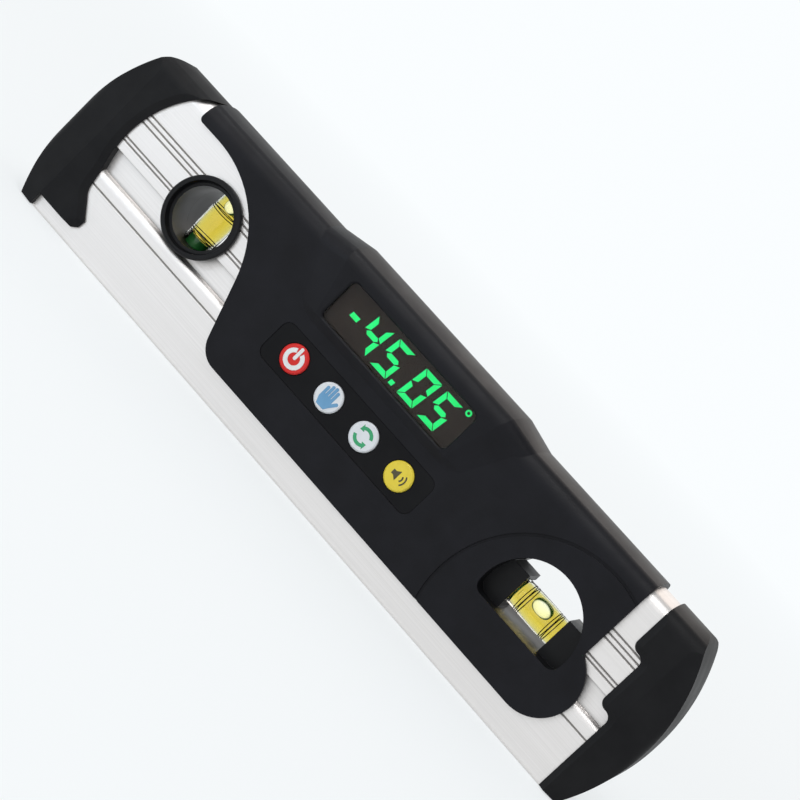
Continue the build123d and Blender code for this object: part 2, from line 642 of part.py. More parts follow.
# Front cover: window, display pocket, keypad opening, ring line and bosses
with BuildPart() as front_cover:
    add(cover_shell.part)
    with BuildSketch(front(BEZEL_FACE)):
        with Locations((0, WINDOW_Z)):
            RectangleRounded(WINDOW_WIDTH, WINDOW_HEIGHT, WINDOW_CORNER)
    extrude(amount=-BEZEL_FACE + COVER_INNER, mode=Mode.SUBTRACT)
    for spread in (WINDOW_BEVEL, 0):
        mouth_width = WINDOW_WIDTH + 2 * spread
        mouth_height = WINDOW_HEIGHT + 2 * spread
        with BuildSketch(front(BEZEL_FACE - WINDOW_BEVEL + spread)):
            with Locations((0, WINDOW_Z)):
                RectangleRounded(mouth_width, mouth_height, WINDOW_CORNER + spread)
    loft(ruled=True, mode=Mode.SUBTRACT)
    with BuildSketch(front(LENS_FACE + FIT)):
        with Locations((0, WINDOW_Z)):
            Rectangle(LENS_WIDTH + 2 * SLIDE, LENS_HEIGHT + 2 * SLIDE)
    extrude(amount=BOARD_FRONT - LENS_FACE, mode=Mode.SUBTRACT)
    with BuildSketch(front(COVER_FACE)):
        with Locations((0, KEYPAD_Z)):
            RectangleRounded(KEYPAD_WIDTH, KEYPAD_HEIGHT, KEYPAD_CORNER)
    extrude(amount=-2 * SKIN, mode=Mode.SUBTRACT)
    with BuildSketch(front(COVER_FACE)):
        with Locations((LEVEL_X + RING_LINE_X, LEVEL_Z + RING_LINE_Z)):
            Circle(RING_LINE_RADIUS)
            Circle(RING_LINE_RADIUS - RING_LINE_WIDTH, mode=Mode.SUBTRACT)
    extrude(amount=-RING_LINE_DEPTH, mode=Mode.SUBTRACT)
    with BuildSketch(front(COVER_INNER + SKIN / 2)):
        with Locations(*COVER_BOSSES):
            Circle(BOSS_RADIUS)
    extrude(amount=-COVER_INNER - SKIN / 2 - BOSS_MEET)
    with BuildSketch(front(-BOSS_MEET)):
        with Locations(*COVER_BOSSES):
            Circle(SHANK_RADIUS + PILOT_CLEAR)
    extrude(amount=COVER_SHANK + HEAD_SUNK - COVER_FACE + BOSS_MEET + PILOT_SPARE, mode=Mode.SUBTRACT)
    with BuildSketch(front(COVER_INNER + SKIN / 2)):
        with Locations(*BOARD_HOLES):
            Rectangle(BOARD_POST, BOARD_POST)
    extrude(amount=BOARD_FRONT + FIT - COVER_INNER - SKIN / 2)
    with BuildSketch(front(BOARD_FRONT)):
        with Locations(*BOARD_HOLES):
            Circle(BOARD_SHANK_RADIUS + PILOT_CLEAR)
    extrude(amount=BOARD_SHANK, mode=Mode.SUBTRACT)
front_cover.part.label = "front_cover"
export_step(front_cover.part, "parts/front_cover.step")

# Rear cover: the same shell with the battery door's opening and the screw bosses
with BuildPart() as rear_cover:
    add(cover_shell.part.mirror(Plane.XZ))
    with BuildSketch(front(-COVER_FACE)):
        with Locations((0, DOOR_Z)):
            RectangleRounded(DOOR_WIDTH + 2 * SLIDE, DOOR_HEIGHT + 2 * SLIDE, DOOR_CORNER)
    extrude(amount=2 * SKIN, mode=Mode.SUBTRACT)
    with BuildSketch(front(-COVER_INNER - SKIN / 2)):
        with Locations(*COVER_BOSSES):
            Circle(BOSS_RADIUS)
    extrude(amount=COVER_INNER + SKIN / 2 - BOSS_MEET - FIT)
    with BuildSketch(front(-COVER_FACE)):
        with Locations(*COVER_BOSSES):
            Circle(HEAD_RADIUS + SLIDE)
    extrude(amount=HEAD_SUNK, mode=Mode.SUBTRACT)
    with BuildSketch(front(-COVER_FACE)):
        with Locations(*COVER_BOSSES):
            Circle(SHANK_RADIUS + SHANK_CLEAR)
    extrude(amount=COVER_FACE, mode=Mode.SUBTRACT)
rear_cover.part.label = "rear_cover"
export_step(rear_cover.part, "parts/rear_cover.step")

# Screws that draw the two covers together round the beam
with BuildPart() as cover_screws:
    with BuildSketch(front(-COVER_FACE + HEAD_SUNK)):
        with Locations(*COVER_BOSSES):
            Circle(HEAD_RADIUS)
    extrude(amount=-HEAD_THICK)
    with BuildSketch(front(-COVER_FACE + HEAD_SUNK)):
        with Locations(*COVER_BOSSES):
            Circle(SHANK_RADIUS)
    extrude(amount=COVER_SHANK)
cover_screws.part.label = "cover_screws"
export_step(cover_screws.part, "parts/cover_screws.step")

# Display: window, seal, panel and backlight stacked behind the bezel
with BuildPart() as display_window:
    with BuildSketch(front(LENS_FACE)):
        with Locations((0, WINDOW_Z)):
            Rectangle(LENS_WIDTH, LENS_HEIGHT)
    extrude(amount=-LENS_THICK)
display_window.part.label = "display_window"
export_step(display_window.part, "parts/display_window.step")

with BuildPart() as display_gasket:
    with BuildSketch(front(SEAL_FACE)):
        with Locations((0, WINDOW_Z)):
            Rectangle(LENS_WIDTH, LENS_HEIGHT)
            Rectangle(WINDOW_WIDTH + 2 * GASKET_MARGIN, WINDOW_HEIGHT + 2 * GASKET_MARGIN, mode=Mode.SUBTRACT)
    extrude(amount=-GASKET_THICK)
display_gasket.part.label = "display_gasket"
export_step(display_gasket.part, "parts/display_gasket.step")

with BuildPart() as display_panel:
    with BuildSketch(front(PANEL_FACE)):
        with Locations((0, WINDOW_Z)):
            Rectangle(LENS_WIDTH, LENS_HEIGHT)
    extrude(amount=-PANEL_THICK)
display_panel.part.label = "display_panel"
export_step(display_panel.part, "parts/display_panel.step")

with BuildPart() as display_backlight:
    with BuildSketch(front(LAMP_FACE)):
        with Locations((0, WINDOW_Z)):
            Rectangle(LENS_WIDTH, LENS_HEIGHT)
    extrude(amount=-BACKLIGHT_THICK)
    with BuildSketch(front(LAMP_BACK)):
        with Locations((0, WINDOW_Z)):
            with GridLocations(0, LENS_HEIGHT - 2 * PIN_STRIP, 1, 2):
                Rectangle(WINDOW_WIDTH, PIN_STRIP)
    extrude(amount=-PIN_GAP)
display_backlight.part.label = "display_backlight"
export_step(display_backlight.part, "parts/display_backlight.step")

# Circuit board on two posts of the front cover
with BuildPart() as circuit_board:
    with BuildSketch(front(BOARD_FRONT)):
        with Locations((0, BOARD_HOLE_Z)):
            Rectangle(BOARD_WIDTH, BOARD_TOP - BOARD_LOW)
        with Locations(*BOARD_HOLES):
            Circle(BOARD_SHANK_RADIUS + SHANK_CLEAR, mode=Mode.SUBTRACT)
    extrude(amount=-BOARD_THICK)
circuit_board.part.label = "circuit_board"
export_step(circuit_board.part, "parts/circuit_board.step")

with BuildPart() as board_screws:
    with BuildSketch(front(BOARD_BACK)):
        with Locations(*BOARD_HOLES):
            Circle(BOARD_HEAD_RADIUS)
    extrude(amount=-BOARD_HEAD_THICK)
    with BuildSketch(front(BOARD_BACK)):
        with Locations(*BOARD_HOLES):
            Circle(BOARD_SHANK_RADIUS)
    extrude(amount=BOARD_SHANK)
board_screws.part.label = "board_screws"
export_step(board_screws.part, "parts/board_screws.step")

with BuildPart() as key_switches:
    with BuildSketch(front(BOARD_FRONT)):
        with Locations((0, KEYPAD_Z)):
            with GridLocations(BUTTON_PITCH, 0, 4, 1):
                Rectangle(SWITCH_WIDTH, SWITCH_WIDTH)
    extrude(amount=SWITCH_THICK)
    with BuildSketch(front(BOARD_FRONT + SWITCH_THICK)):
        with Locations((0, KEYPAD_Z)):
            with GridLocations(BUTTON_PITCH, 0, 4, 1):
                Rectangle(SWITCH_PLUNGER, SWITCH_PLUNGER)
    extrude(amount=SWITCH_RISE)
key_switches.part.label = "key_switches"
export_step(key_switches.part, "parts/key_switches.step")

with BuildPart() as processor_chip:
    with BuildSketch(front(BOARD_BACK)):
        with Locations((0, WINDOW_Z)):
            Rectangle(CHIP, CHIP)
    extrude(amount=-CHIP_THICK)
processor_chip.part.label = "processor_chip"
export_step(processor_chip.part, "parts/processor_chip.step")

with BuildPart() as tilt_sensor:
    with BuildSketch(front(BOARD_BACK)):
        with Locations((2 * CHIP, WINDOW_Z)):
            Rectangle(SENSOR_WIDTH, SENSOR_WIDTH)
    extrude(amount=-SENSOR_THICK)
tilt_sensor.part.label = "tilt_sensor"
export_step(tilt_sensor.part, "parts/tilt_sensor.step")

with BuildPart() as buzzer:
    with BuildSketch(front(BOARD_BACK)):
        with Locations((-2 * CHIP, WINDOW_Z)):
            Circle(BUZZER_RADIUS)
    extrude(amount=-BUZZER_THICK)
buzzer.part.label = "buzzer"
export_step(buzzer.part, "parts/buzzer.step")

# Keypad: silicone pad held by its flange, with a hole for each key
with BuildPart() as keypad:
    with BuildSketch(front(COVER_INNER)):
        with Locations((0, KEYPAD_Z)):
            Rectangle(FLANGE_WIDTH, FLANGE_HEIGHT)
    extrude(amount=-KEYPAD_FLANGE_THICK)
    with BuildSketch(front(COVER_INNER)):
        with Locations((0, KEYPAD_Z)):
            RectangleRounded(KEYPAD_WIDTH - 2 * FIT, KEYPAD_HEIGHT - 2 * FIT, KEYPAD_CORNER)
    extrude(amount=SKIN - KEYPAD_SUNK)
    with BuildSketch(front(COVER_FACE)):
        with Locations((0, KEYPAD_Z)):
            with GridLocations(BUTTON_PITCH, 0, 4, 1):
                Circle(BUTTON_RADIUS + SLIDE)
    extrude(amount=-2 * COVER_INNER, mode=Mode.SUBTRACT)
keypad.part.label = "keypad"
export_step(keypad.part, "parts/keypad.step")

# One key, then the four of the row
with BuildPart() as key_blank:
    with BuildSketch(front(COVER_FACE + BUTTON_PROUD)):
        with Locations((0, KEYPAD_Z)):
            Circle(BUTTON_RADIUS)
    extrude(amount=COVER_INNER - KEYPAD_FLANGE_THICK - SLIDE - COVER_FACE - BUTTON_PROUD)
    chamfer(key_blank.edges().group_by(Axis.Y)[0], BUTTON_EDGE)
    with BuildSketch(front(COVER_INNER - KEYPAD_FLANGE_THICK - SLIDE)):
        with Locations((0, KEYPAD_Z)):
            Rectangle(BUTTON_DIAMETER + 2 * BUTTON_FLANGE, BUTTON_DIAMETER + 2 * BUTTON_FLANGE)
    extrude(amount=-BUTTON_FLANGE_THICK)
    with BuildSketch(front(STEM_END)):
        with Locations((0, KEYPAD_Z)):
            Rectangle(BUTTON_STEM, BUTTON_STEM)
    extrude(until=Until.NEXT)

with BuildPart() as power_button:
    with Locations((-1.5 * BUTTON_PITCH, 0, 0)):
        add(key_blank.part)
power_button.part.label = "power_button"
export_step(power_button.part, "parts/power_button.step")

with BuildPart() as hold_button:
    with Locations((-0.5 * BUTTON_PITCH, 0, 0)):
        add(key_blank.part)
hold_button.part.label = "hold_button"
export_step(hold_button.part, "parts/hold_button.step")

with BuildPart() as unit_button:
    with Locations((0.5 * BUTTON_PITCH, 0, 0)):
        add(key_blank.part)
unit_button.part.label = "unit_button"
export_step(unit_button.part, "parts/unit_button.step")

with BuildPart() as sound_button:
    with Locations((1.5 * BUTTON_PITCH, 0, 0)):
        add(key_blank.part)
sound_button.part.label = "sound_button"
export_step(sound_button.part, "parts/sound_button.step")

# Level vial: lining with its cradle, vial, plug, spirit and bubble
with BuildPart() as level_vial_holder:
    with BuildSketch(Plane.XZ):
        add(vial_opening(LINER_WALL))
        add(vial_opening(0), mode=Mode.SUBTRACT)
    extrude(amount=BEAM_FACE, both=True)
    with BuildSketch(Plane.XZ):
        add(vial_opening(LINER_WALL / 2))
        with Locations((LEVEL_X, LEVEL_Z + VIAL_RADIUS + CRADLE_TOP)):
            Rectangle(4 * OPENING_RADIUS, 4 * OPENING_RADIUS, align=STANDING, mode=Mode.SUBTRACT)
        with Locations((LEVEL_X, LEVEL_Z)):
            Rectangle(2 * CRADLE_REACH, 4 * OPENING_RADIUS, mode=Mode.SUBTRACT)
    extrude(amount=VIAL_RADIUS + CRADLE_WALL, both=True)
    with BuildSketch(Plane.YZ.offset(LEVEL_X)):
        with Locations((0, LEVEL_Z)):
            Circle(VIAL_RADIUS + FIT)
            Rectangle(2 * VIAL_DIAMETER, VIAL_DIAMETER - 2 * CRADLE_SNAP, align=(Align.MIN, Align.CENTER))
    extrude(amount=LEVEL_LENGTH / 2 + FIT, both=True, mode=Mode.SUBTRACT)
    with BuildSketch(Plane.XZ):
        add(vial_opening(LINER_WALL))
        add(vial_opening(0), mode=Mode.SUBTRACT)
    extrude(amount=BEAM_FACE, both=True)
level_vial_holder.part.label = "level_vial_holder"
export_step(level_vial_holder.part, "parts/level_vial_holder.step")

with BuildPart() as level_vial:
    with BuildSketch(LEVEL_PLANE):
        add(vial_section(LEVEL_LENGTH, VIAL_RADIUS, bore_section(LEVEL_LENGTH, LEVEL_PLUG)))
    revolve(axis=LEVEL_AXIS)
level_vial.part.label = "level_vial"
export_step(level_vial.part, "parts/level_vial.step")

with BuildPart() as level_vial_plug:
    with BuildSketch(LEVEL_PLANE):
        with Locations((LEVEL_LENGTH / 2, 0)):
            Rectangle(LEVEL_PLUG - FIT, PLUG_LAND - FIT, align=(Align.MAX, Align.MIN))
    revolve(axis=LEVEL_AXIS)
level_vial_plug.part.label = "level_vial_plug"
export_step(level_vial_plug.part, "parts/level_vial_plug.step")

with BuildPart() as level_spirit:
    with BuildSketch(LEVEL_PLANE):
        add(spirit_section(LEVEL_LENGTH, LEVEL_PLUG, FIT))
    revolve(axis=LEVEL_AXIS)
    with BuildSketch(Plane.YZ.offset(LEVEL_X)):
        with Locations((0, LEVEL_BUBBLE_Z - BUBBLE_RADIUS - BUBBLE_CLEAR)):
            Rectangle(2 * (BUBBLE_RADIUS + BUBBLE_CLEAR), VIAL_DIAMETER, align=STANDING)
    extrude(amount=BUBBLE_LENGTH / 2 + LEVEL_TRAVEL + BUBBLE_CLEAR, both=True, mode=Mode.SUBTRACT)
level_spirit.part.label = "level_spirit"
export_step(level_spirit.part, "parts/level_spirit.step")

with BuildPart() as level_bubble:
    with BuildSketch(LEVEL_BUBBLE_PLANE):
        add(bubble_section(BUBBLE_LENGTH))
    revolve(axis=Axis(LEVEL_BUBBLE_PLANE.origin, LEVEL_BUBBLE_PLANE.x_dir))
level_bubble.part.label = "level_bubble"
export_step(level_bubble.part, "parts/level_bubble.step")

# Plumb vial: two rings that meet at the middle and hold the vial's ends between them
with BuildPart() as plumb_ring_front:
    with BuildSketch(front(BEAM_FACE + FIT)):
        with Locations((PLUMB_X, PLUMB_Z)):
            Circle(RING_RADIUS)
    extrude(amount=RING_PROUD)
    chamfer(plumb_ring_front.edges().group_by(Axis.Y)[0], RING_EDGE)
    with BuildSketch(front(FIT / 2)):
        with Locations((PLUMB_X, PLUMB_Z)):
            Circle(TUBE_RADIUS)
    extrude(amount=BEAM_FACE + RING_PROUD / 2)
    with BuildSketch(Plane.XZ):
        with Locations((PLUMB_X, PLUMB_Z)):
            Circle(TUBE_BORE)
    extrude(amount=BEAM_WIDTH, mode=Mode.SUBTRACT)
    for radius, depth in ((RING_MOUTH, 0), (RING_SHELF, RING_STEP)):
        with BuildSketch(front(BEAM_FACE + FIT + RING_PROUD - depth)):
            with Locations((PLUMB_X, PLUMB_Z)):
                Circle(radius)
    loft(mode=Mode.SUBTRACT)
    with Locations((PLUMB_X, 0, PLUMB_Z)):
        Cylinder(VIAL_RADIUS + FIT, PLUMB_LENGTH + 2 * FIT, mode=Mode.SUBTRACT)
plumb_ring_front.part.label = "plumb_ring_front"
export_step(plumb_ring_front.part, "parts/plumb_ring_front.step")

with BuildPart() as plumb_ring_rear:
    add(plumb_ring_front.part.mirror(Plane.XZ))
plumb_ring_rear.part.label = "plumb_ring_rear"
export_step(plumb_ring_rear.part, "parts/plumb_ring_rear.step")

with BuildPart() as plumb_vial:
    with BuildSketch(PLUMB_PLANE):
        add(vial_section(PLUMB_LENGTH, VIAL_RADIUS, bore_section(PLUMB_LENGTH, PLUMB_PLUG)))
    revolve(axis=PLUMB_AXIS)
plumb_vial.part.label = "plumb_vial"
export_step(plumb_vial.part, "parts/plumb_vial.step")

with BuildPart() as plumb_vial_plug:
    with BuildSketch(PLUMB_PLANE):
        with Locations((PLUMB_LENGTH / 2, 0)):
            Rectangle(PLUMB_PLUG - FIT, PLUG_LAND - FIT, align=(Align.MAX, Align.MIN))
    revolve(axis=PLUMB_AXIS)
plumb_vial_plug.part.label = "plumb_vial_plug"
export_step(plumb_vial_plug.part, "parts/plumb_vial_plug.step")

with BuildPart() as plumb_spirit:
    with BuildSketch(PLUMB_PLANE):
        add(spirit_section(PLUMB_LENGTH, PLUMB_PLUG, FIT))
    revolve(axis=PLUMB_AXIS)
    with BuildSketch(Plane.XY.offset(PLUMB_Z + PLUMB_LENGTH / 2)):
        with Locations((PLUMB_X, 0)):
            Circle(BUBBLE_RADIUS + BUBBLE_CLEAR)
    extrude(amount=-VIAL_WALL - PLUMB_BUBBLE_LENGTH - PLUMB_TRAVEL - 2 * BUBBLE_CLEAR, mode=Mode.SUBTRACT)
plumb_spirit.part.label = "plumb_spirit"
export_step(plumb_spirit.part, "parts/plumb_spirit.step")

with BuildPart() as plumb_bubble:
    with BuildSketch(PLUMB_BUBBLE_PLANE):
        add(bubble_section(PLUMB_BUBBLE_LENGTH))
    revolve(axis=PLUMB_AXIS)
plumb_bubble.part.label = "plumb_bubble"
export_step(plumb_bubble.part, "parts/plumb_bubble.step")

# Battery tray between the beam and the rear cover, open to the door
with BuildPart() as battery_tray:
    with BuildSketch(front(-TRAY_BACK)):
        with Locations((0, DOOR_Z)):
            Rectangle(TRAY_LENGTH, BAY_HEIGHT + 2 * TRAY_WALL)
    extrude(amount=TRAY_BACK - SEAT_FACE)
    with BuildSketch(front(-SEAT_FACE + RIM_THICK)):
        with Locations((0, DOOR_Z)):
            RectangleRounded(RIM_WIDTH, RIM_HEIGHT, DOOR_CORNER)
    extrude(amount=SEAT_FACE - RIM_THICK - BEAM_FACE)
    with BuildSketch(front(-SEAT_FACE)):
        with Locations((0, DOOR_Z)):
            RectangleRounded(DOOR_WIDTH + 2 * SLIDE, DOOR_HEIGHT + 2 * SLIDE, DOOR_CORNER)
    extrude(amount=-BEAM_WIDTH, mode=Mode.SUBTRACT)
    with BuildSketch(front(-SEAT_FACE)):
        with Locations(*DOOR_HOLES):
            Rectangle(DOOR_BOSS, DOOR_BOSS)
    extrude(amount=DOOR_SHANK)
    with BuildSketch(Plane.YZ):
        with Locations(*CELL_PLACES):
            Circle(BAY_RADIUS)
            Rectangle(BEAM_WIDTH, 2 * BAY_RADIUS, align=(Align.MIN, Align.CENTER))
    extrude(amount=BAY_LENGTH / 2, both=True, mode=Mode.SUBTRACT)
    with BuildSketch(front(-SEAT_FACE)):
        with Locations(*DOOR_HOLES):
            Circle(DOOR_SHANK_RADIUS + SHANK_CLEAR)
    extrude(amount=DOOR_SHANK, mode=Mode.SUBTRACT)
battery_tray.part.label = "battery_tray"
export_step(battery_tray.part, "parts/battery_tray.step")

# The cells lie head to tail
with BuildPart() as upper_battery:
    with BuildSketch(Plane.YZ.offset(NUB_END / 2 - NUB_LENGTH)):
        with Locations((BATTERY_Y, DOOR_Z + BATTERY_PITCH / 2)):
            Circle(BATTERY_RADIUS)
    extrude(amount=NUB_LENGTH - BATTERY_LENGTH)
    chamfer(upper_battery.edges().filter_by(GeomType.CIRCLE), CELL_EDGE)
    with BuildSketch(Plane.YZ.offset(NUB_END / 2 - NUB_LENGTH)):
        with Locations((BATTERY_Y, DOOR_Z + BATTERY_PITCH / 2)):
            Circle(NUB_RADIUS)
    extrude(amount=NUB_LENGTH)
upper_battery.part.label = "upper_battery"
export_step(upper_battery.part, "parts/upper_battery.step")

with BuildPart() as lower_battery:
    with BuildSketch(Plane.YZ.offset(NUB_LENGTH - NUB_END / 2)):
        with Locations((BATTERY_Y, DOOR_Z - BATTERY_PITCH / 2)):
            Circle(BATTERY_RADIUS)
    extrude(amount=BATTERY_LENGTH - NUB_LENGTH)
    chamfer(lower_battery.edges().filter_by(GeomType.CIRCLE), CELL_EDGE)
    with BuildSketch(Plane.YZ.offset(NUB_LENGTH - NUB_END / 2)):
        with Locations((BATTERY_Y, DOOR_Z - BATTERY_PITCH / 2)):
            Circle(NUB_RADIUS)
    extrude(amount=-NUB_LENGTH)
lower_battery.part.label = "lower_battery"
export_step(lower_battery.part, "parts/lower_battery.step")

# Contacts: a plate at each end of each cell, with a bowed leaf behind its flat end
with BuildPart() as battery_contacts:
    for side in (-1, 1):
        with BuildSketch(Plane.YZ.offset(side * (BAY_LENGTH / 2 - FIT))):
            with Locations(*CELL_PLACES):
                Rectangle(CONTACT_WIDTH, CONTACT_WIDTH)
        extrude(amount=side * (FIT - CONTACT_THICK))
    for side in (-1, 1):
        start = side * (BAY_LENGTH / 2 - CONTACT_THICK)
        crown = start - side * (SPRING_LENGTH - 2 * FIT)
        inside = crown + side * CONTACT_THICK
        low = BATTERY_Y - LEAF_WIDTH / 2
        high = BATTERY_Y + LEAF_WIDTH / 2
        low_in = low + CONTACT_THICK
        high_in = high - CONTACT_THICK
        with BuildSketch(Plane.XY.offset(DOOR_Z - side * BATTERY_PITCH / 2)):
            with BuildLine():
                ThreePointArc((start, low), (crown, BATTERY_Y), (start, high))
                Line((start, high), (start, high_in))
                ThreePointArc((start, high_in), (inside, BATTERY_Y), (start, low_in))
                Line((start, low_in), (start, low))
            make_face()
        extrude(amount=LEAF_WIDTH / 2, both=True)
battery_contacts.part.label = "battery_contacts"
export_step(battery_contacts.part, "parts/battery_contacts.step")

# Battery door with its seal and two captive screws
with BuildPart() as battery_door:
    with BuildSketch(front(-DOOR_BACK)):
        with Locations((0, DOOR_Z)):
            RectangleRounded(DOOR_WIDTH, DOOR_HEIGHT, DOOR_CORNER)
        with Locations(*DOOR_HOLES):
            Circle(DOOR_SHANK_RADIUS + SHANK_CLEAR, mode=Mode.SUBTRACT)
    extrude(amount=-DOOR_THICK)
    with BuildSketch(front(-COVER_FACE)):
        with Locations(*DOOR_HOLES):
            Circle(DOOR_HEAD_RADIUS + SLIDE)
    extrude(amount=DOOR_HEAD_SUNK, mode=Mode.SUBTRACT)
battery_door.part.label = "battery_door"
export_step(battery_door.part, "parts/battery_door.step")

with BuildPart() as battery_door_gasket:
    with BuildSketch(front(-SEAT_FACE - FIT)):
        with Locations((0, DOOR_Z)):
            Rectangle(TRAY_LENGTH, BAY_HEIGHT + 2 * SEAL_WIDTH)
            Rectangle(TRAY_LENGTH - 2 * SEAL_WIDTH, BAY_HEIGHT, mode=Mode.SUBTRACT)
    extrude(amount=FIT - SEAL_THICK)
battery_door_gasket.part.label = "battery_door_gasket"
export_step(battery_door_gasket.part, "parts/battery_door_gasket.step")

with BuildPart() as battery_door_screws:
    with BuildSketch(front(-COVER_FACE + DOOR_HEAD_SUNK)):
        with Locations(*DOOR_HOLES):
            Circle(DOOR_HEAD_RADIUS)
    extrude(amount=-DOOR_HEAD_THICK)
    with BuildSketch(front(-COVER_FACE + DOOR_HEAD_SUNK)):
        with Locations(*DOOR_HOLES):
            Circle(DOOR_SHANK_RADIUS)
    extrude(amount=DOOR_SHANK)
battery_door_screws.part.label = "battery_door_screws"
export_step(battery_door_screws.part, "parts/battery_door_screws.step")
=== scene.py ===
"""Looks of the digital spirit level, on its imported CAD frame.

Metres, in the frame of the CAD model: X along the level, front at -Y, base at Z = 0.
"""

import math

import bmesh
import bpy
from mathutils import Matrix, Vector


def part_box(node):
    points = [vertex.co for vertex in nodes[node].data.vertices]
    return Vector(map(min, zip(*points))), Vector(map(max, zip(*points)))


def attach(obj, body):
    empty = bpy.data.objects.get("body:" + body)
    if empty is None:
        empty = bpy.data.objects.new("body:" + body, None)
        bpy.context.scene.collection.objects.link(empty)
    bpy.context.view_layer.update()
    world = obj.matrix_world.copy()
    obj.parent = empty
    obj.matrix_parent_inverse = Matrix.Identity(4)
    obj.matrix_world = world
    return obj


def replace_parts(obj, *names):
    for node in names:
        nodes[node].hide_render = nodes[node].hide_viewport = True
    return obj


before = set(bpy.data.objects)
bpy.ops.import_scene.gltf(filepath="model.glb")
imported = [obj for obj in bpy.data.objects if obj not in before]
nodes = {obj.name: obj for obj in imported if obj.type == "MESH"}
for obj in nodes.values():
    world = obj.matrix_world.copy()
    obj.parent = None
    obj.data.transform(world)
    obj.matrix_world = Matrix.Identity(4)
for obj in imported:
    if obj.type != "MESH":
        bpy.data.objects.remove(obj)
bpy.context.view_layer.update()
MM = 0.001

# Camera, fitted to the photograph
AIM = Vector((4.0, 0.0, 41.0)) * MM
DISTANCE = 680 * MM
YAW = math.radians(13.0)
RISE = math.radians(9.0)
ROLL = math.radians(46.0)
FOCAL_LENGTH = 106.6            # millimetres, like the sensor's width
SENSOR_WIDTH = 36.0

# Stage: colours, light and lamps
SKY = (0.955, 0.985, 1.0)
SKY_LIGHT = 0.50                # strength of the even light
SKY_ZENITH = 0.40               # brightness overhead, where eye level is 1
SKY_FADE = (0.25, 0.85)         # heights between which it darkens
FLOOR_REACH = 6.0
FLOOR_TONES = ((0.82, 0.84, 0.85), (0.84, 0.86, 0.87))
FLOOR_BLOTCH = 0.5
GLOW_FADE = (0.2, 0.9)          # distances between which the floor turns into plain sky colour
GLOW_NEAR = 0.68                # share of sky colour under the level
PLAIN_LIGHT = (1.0, 1.0, 1.0)
WARM_LIGHT = (1.0, 0.84, 0.72)
COOL_LIGHT = (0.72, 0.86, 1.0)
LAMPS = (                       # name, place, width and height, watts, colour
    ("key", (-0.35, -0.60, 0.70), (0.5, 0.5), 2.2, PLAIN_LIGHT),
    ("rim", (0.10, 0.55, 0.45), (0.7, 0.3), 0.7, WARM_LIGHT),
    ("strip", (-0.16, -0.14, 0.75), (0.9, 0.06), 2.0, PLAIN_LIGHT),
    ("fill", (-0.66, -0.80, 0.12), (0.3, 0.2), 0.8, COOL_LIGHT),
)

# Surfaces
NOISE_LOW = 0.3                 # most of a noise lies between these two
NOISE_HIGH = 0.7
EDGE_SOFTNESS = 0.25 * MM
# painted shade in a metal's own grooves: how far it reaches and how finely it is sampled
PAINTED_SHADE_REACH = 1.2 * MM
PAINTED_SHADE_SAMPLES = 8
LENGTHWISE = (400, 1, 1)        # stretch of brush lines along X
EVENLY = (1, 1, 1)
CLEAR_PALER = 1.04              # light tone of a clear material over its dark one
PAINTED_RIM_FADE = (0.80, 0.93)         # painted dark rim: a bubble darkens between these shares of its outline
CELL_STEEL = (0.62, 0.63, 0.64)
CELL_SLEEVE = (0.030, 0.036, 0.048)
CELL_COPPER = (0.62, 0.34, 0.16)
CELL_BANDS = (                  # start as a share of the length, tone, metal
    (0.0, CELL_STEEL, 1.0),
    (0.02, CELL_SLEEVE, 0.0),
    (0.74, CELL_COPPER, 0.7),
    (0.965, CELL_STEEL, 1.0),
)
CELL_BUTTON = 3 * MM            # a cell's button is narrower than this
TOUCH = 0.01 * MM               # points this near lie on one plane

# Display digits: places along the window, in millimetres from its middle
DIGIT_HEIGHT = 11.0 * MM
DIGIT_STROKE = 1.6 * MM
DIGIT_GAP = 0.16 * MM
DIGIT_SINK = 0.45 * MM          # middle of the digits below the middle of the window
DIGIT_SLANT = math.tan(math.radians(7.0))
DIGITS = (("4", -15.25, -8.7), ("5", -6.35, 0.25), ("0", 5.15, 11.75), ("5", 13.95, 20.55))
MINUS = (-21.0, -18.0)
POINT = (1.4, 2.9)
POINT_HEIGHT = 1.5 * MM
DEGREE = (23.4, 5.2)
DEGREE_RING = (0.45 * MM, 1.0 * MM)
RING_TURN = 359                 # a ring drawn as one outline stays open by a hair

# Marks
LAYER = 0.04 * MM               # thickness of printed and lit marks
ARC_STEPS = 24
END_STEPS = 8                   # of the rounded end of a stroke

# Vials
BORE_BARREL = 0.4 * MM          # the bore's ends are this much narrower
LIQUID_GRIP = 0.06 * MM         # the liquid wets the wall
LIQUID_STEPS = 16               # from the middle of the liquid to each end
LINE_WIDTH = 0.28 * MM
LEVEL_LINES = (-5.75 * MM, -4.65 * MM, 4.65 * MM, 5.75 * MM)
PLUMB_LINES = (-6.0 * MM, -5.1 * MM, 3.5 * MM, 4.3 * MM)
ROUND_STEPS = 64
BUBBLE_STEPS = 48
BUBBLE_RINGS = 32               # from pole to pole
BUBBLE_POWER = 0.6              # under 1 is squarer than an ellipsoid
BUBBLE_BLEND = 0.5              # from round, 0, to fully squared, 1
BUBBLE_FILL = 0.98              # of its node's box

# Screws, in shares of the head's or the shank's radius unless in millimetres
SCREW_APART = 6 * MM            # screws of a node are farther apart than this
HEAD_ROUNDING = ((0.0, 0.80), (0.10 * MM, 0.93), (0.28 * MM, 1.0))
HEAD_EDGE = 0.95
THREAD_PITCH = 0.5 * MM
THREAD_START = 0.4
THREAD_ROOT = 0.86
THREAD_FLANKS = (0.3, 0.6)      # places of the root in a pitch
TIP_WIDTH = 0.5
CROSS_ARM = 0.56
CROSS_HALF = 0.14
CROSS_DEPTH = 0.5               # of the head's height
CROSS_FLOOR = 0.75              # of the recess's mouth
SCREW_STEPS = 40
FIRST_TURN = 0.4                # radians
NEXT_TURN = 1.1


# Node material helpers

def link(tree, source, target):
    tree.links.new(source, target)


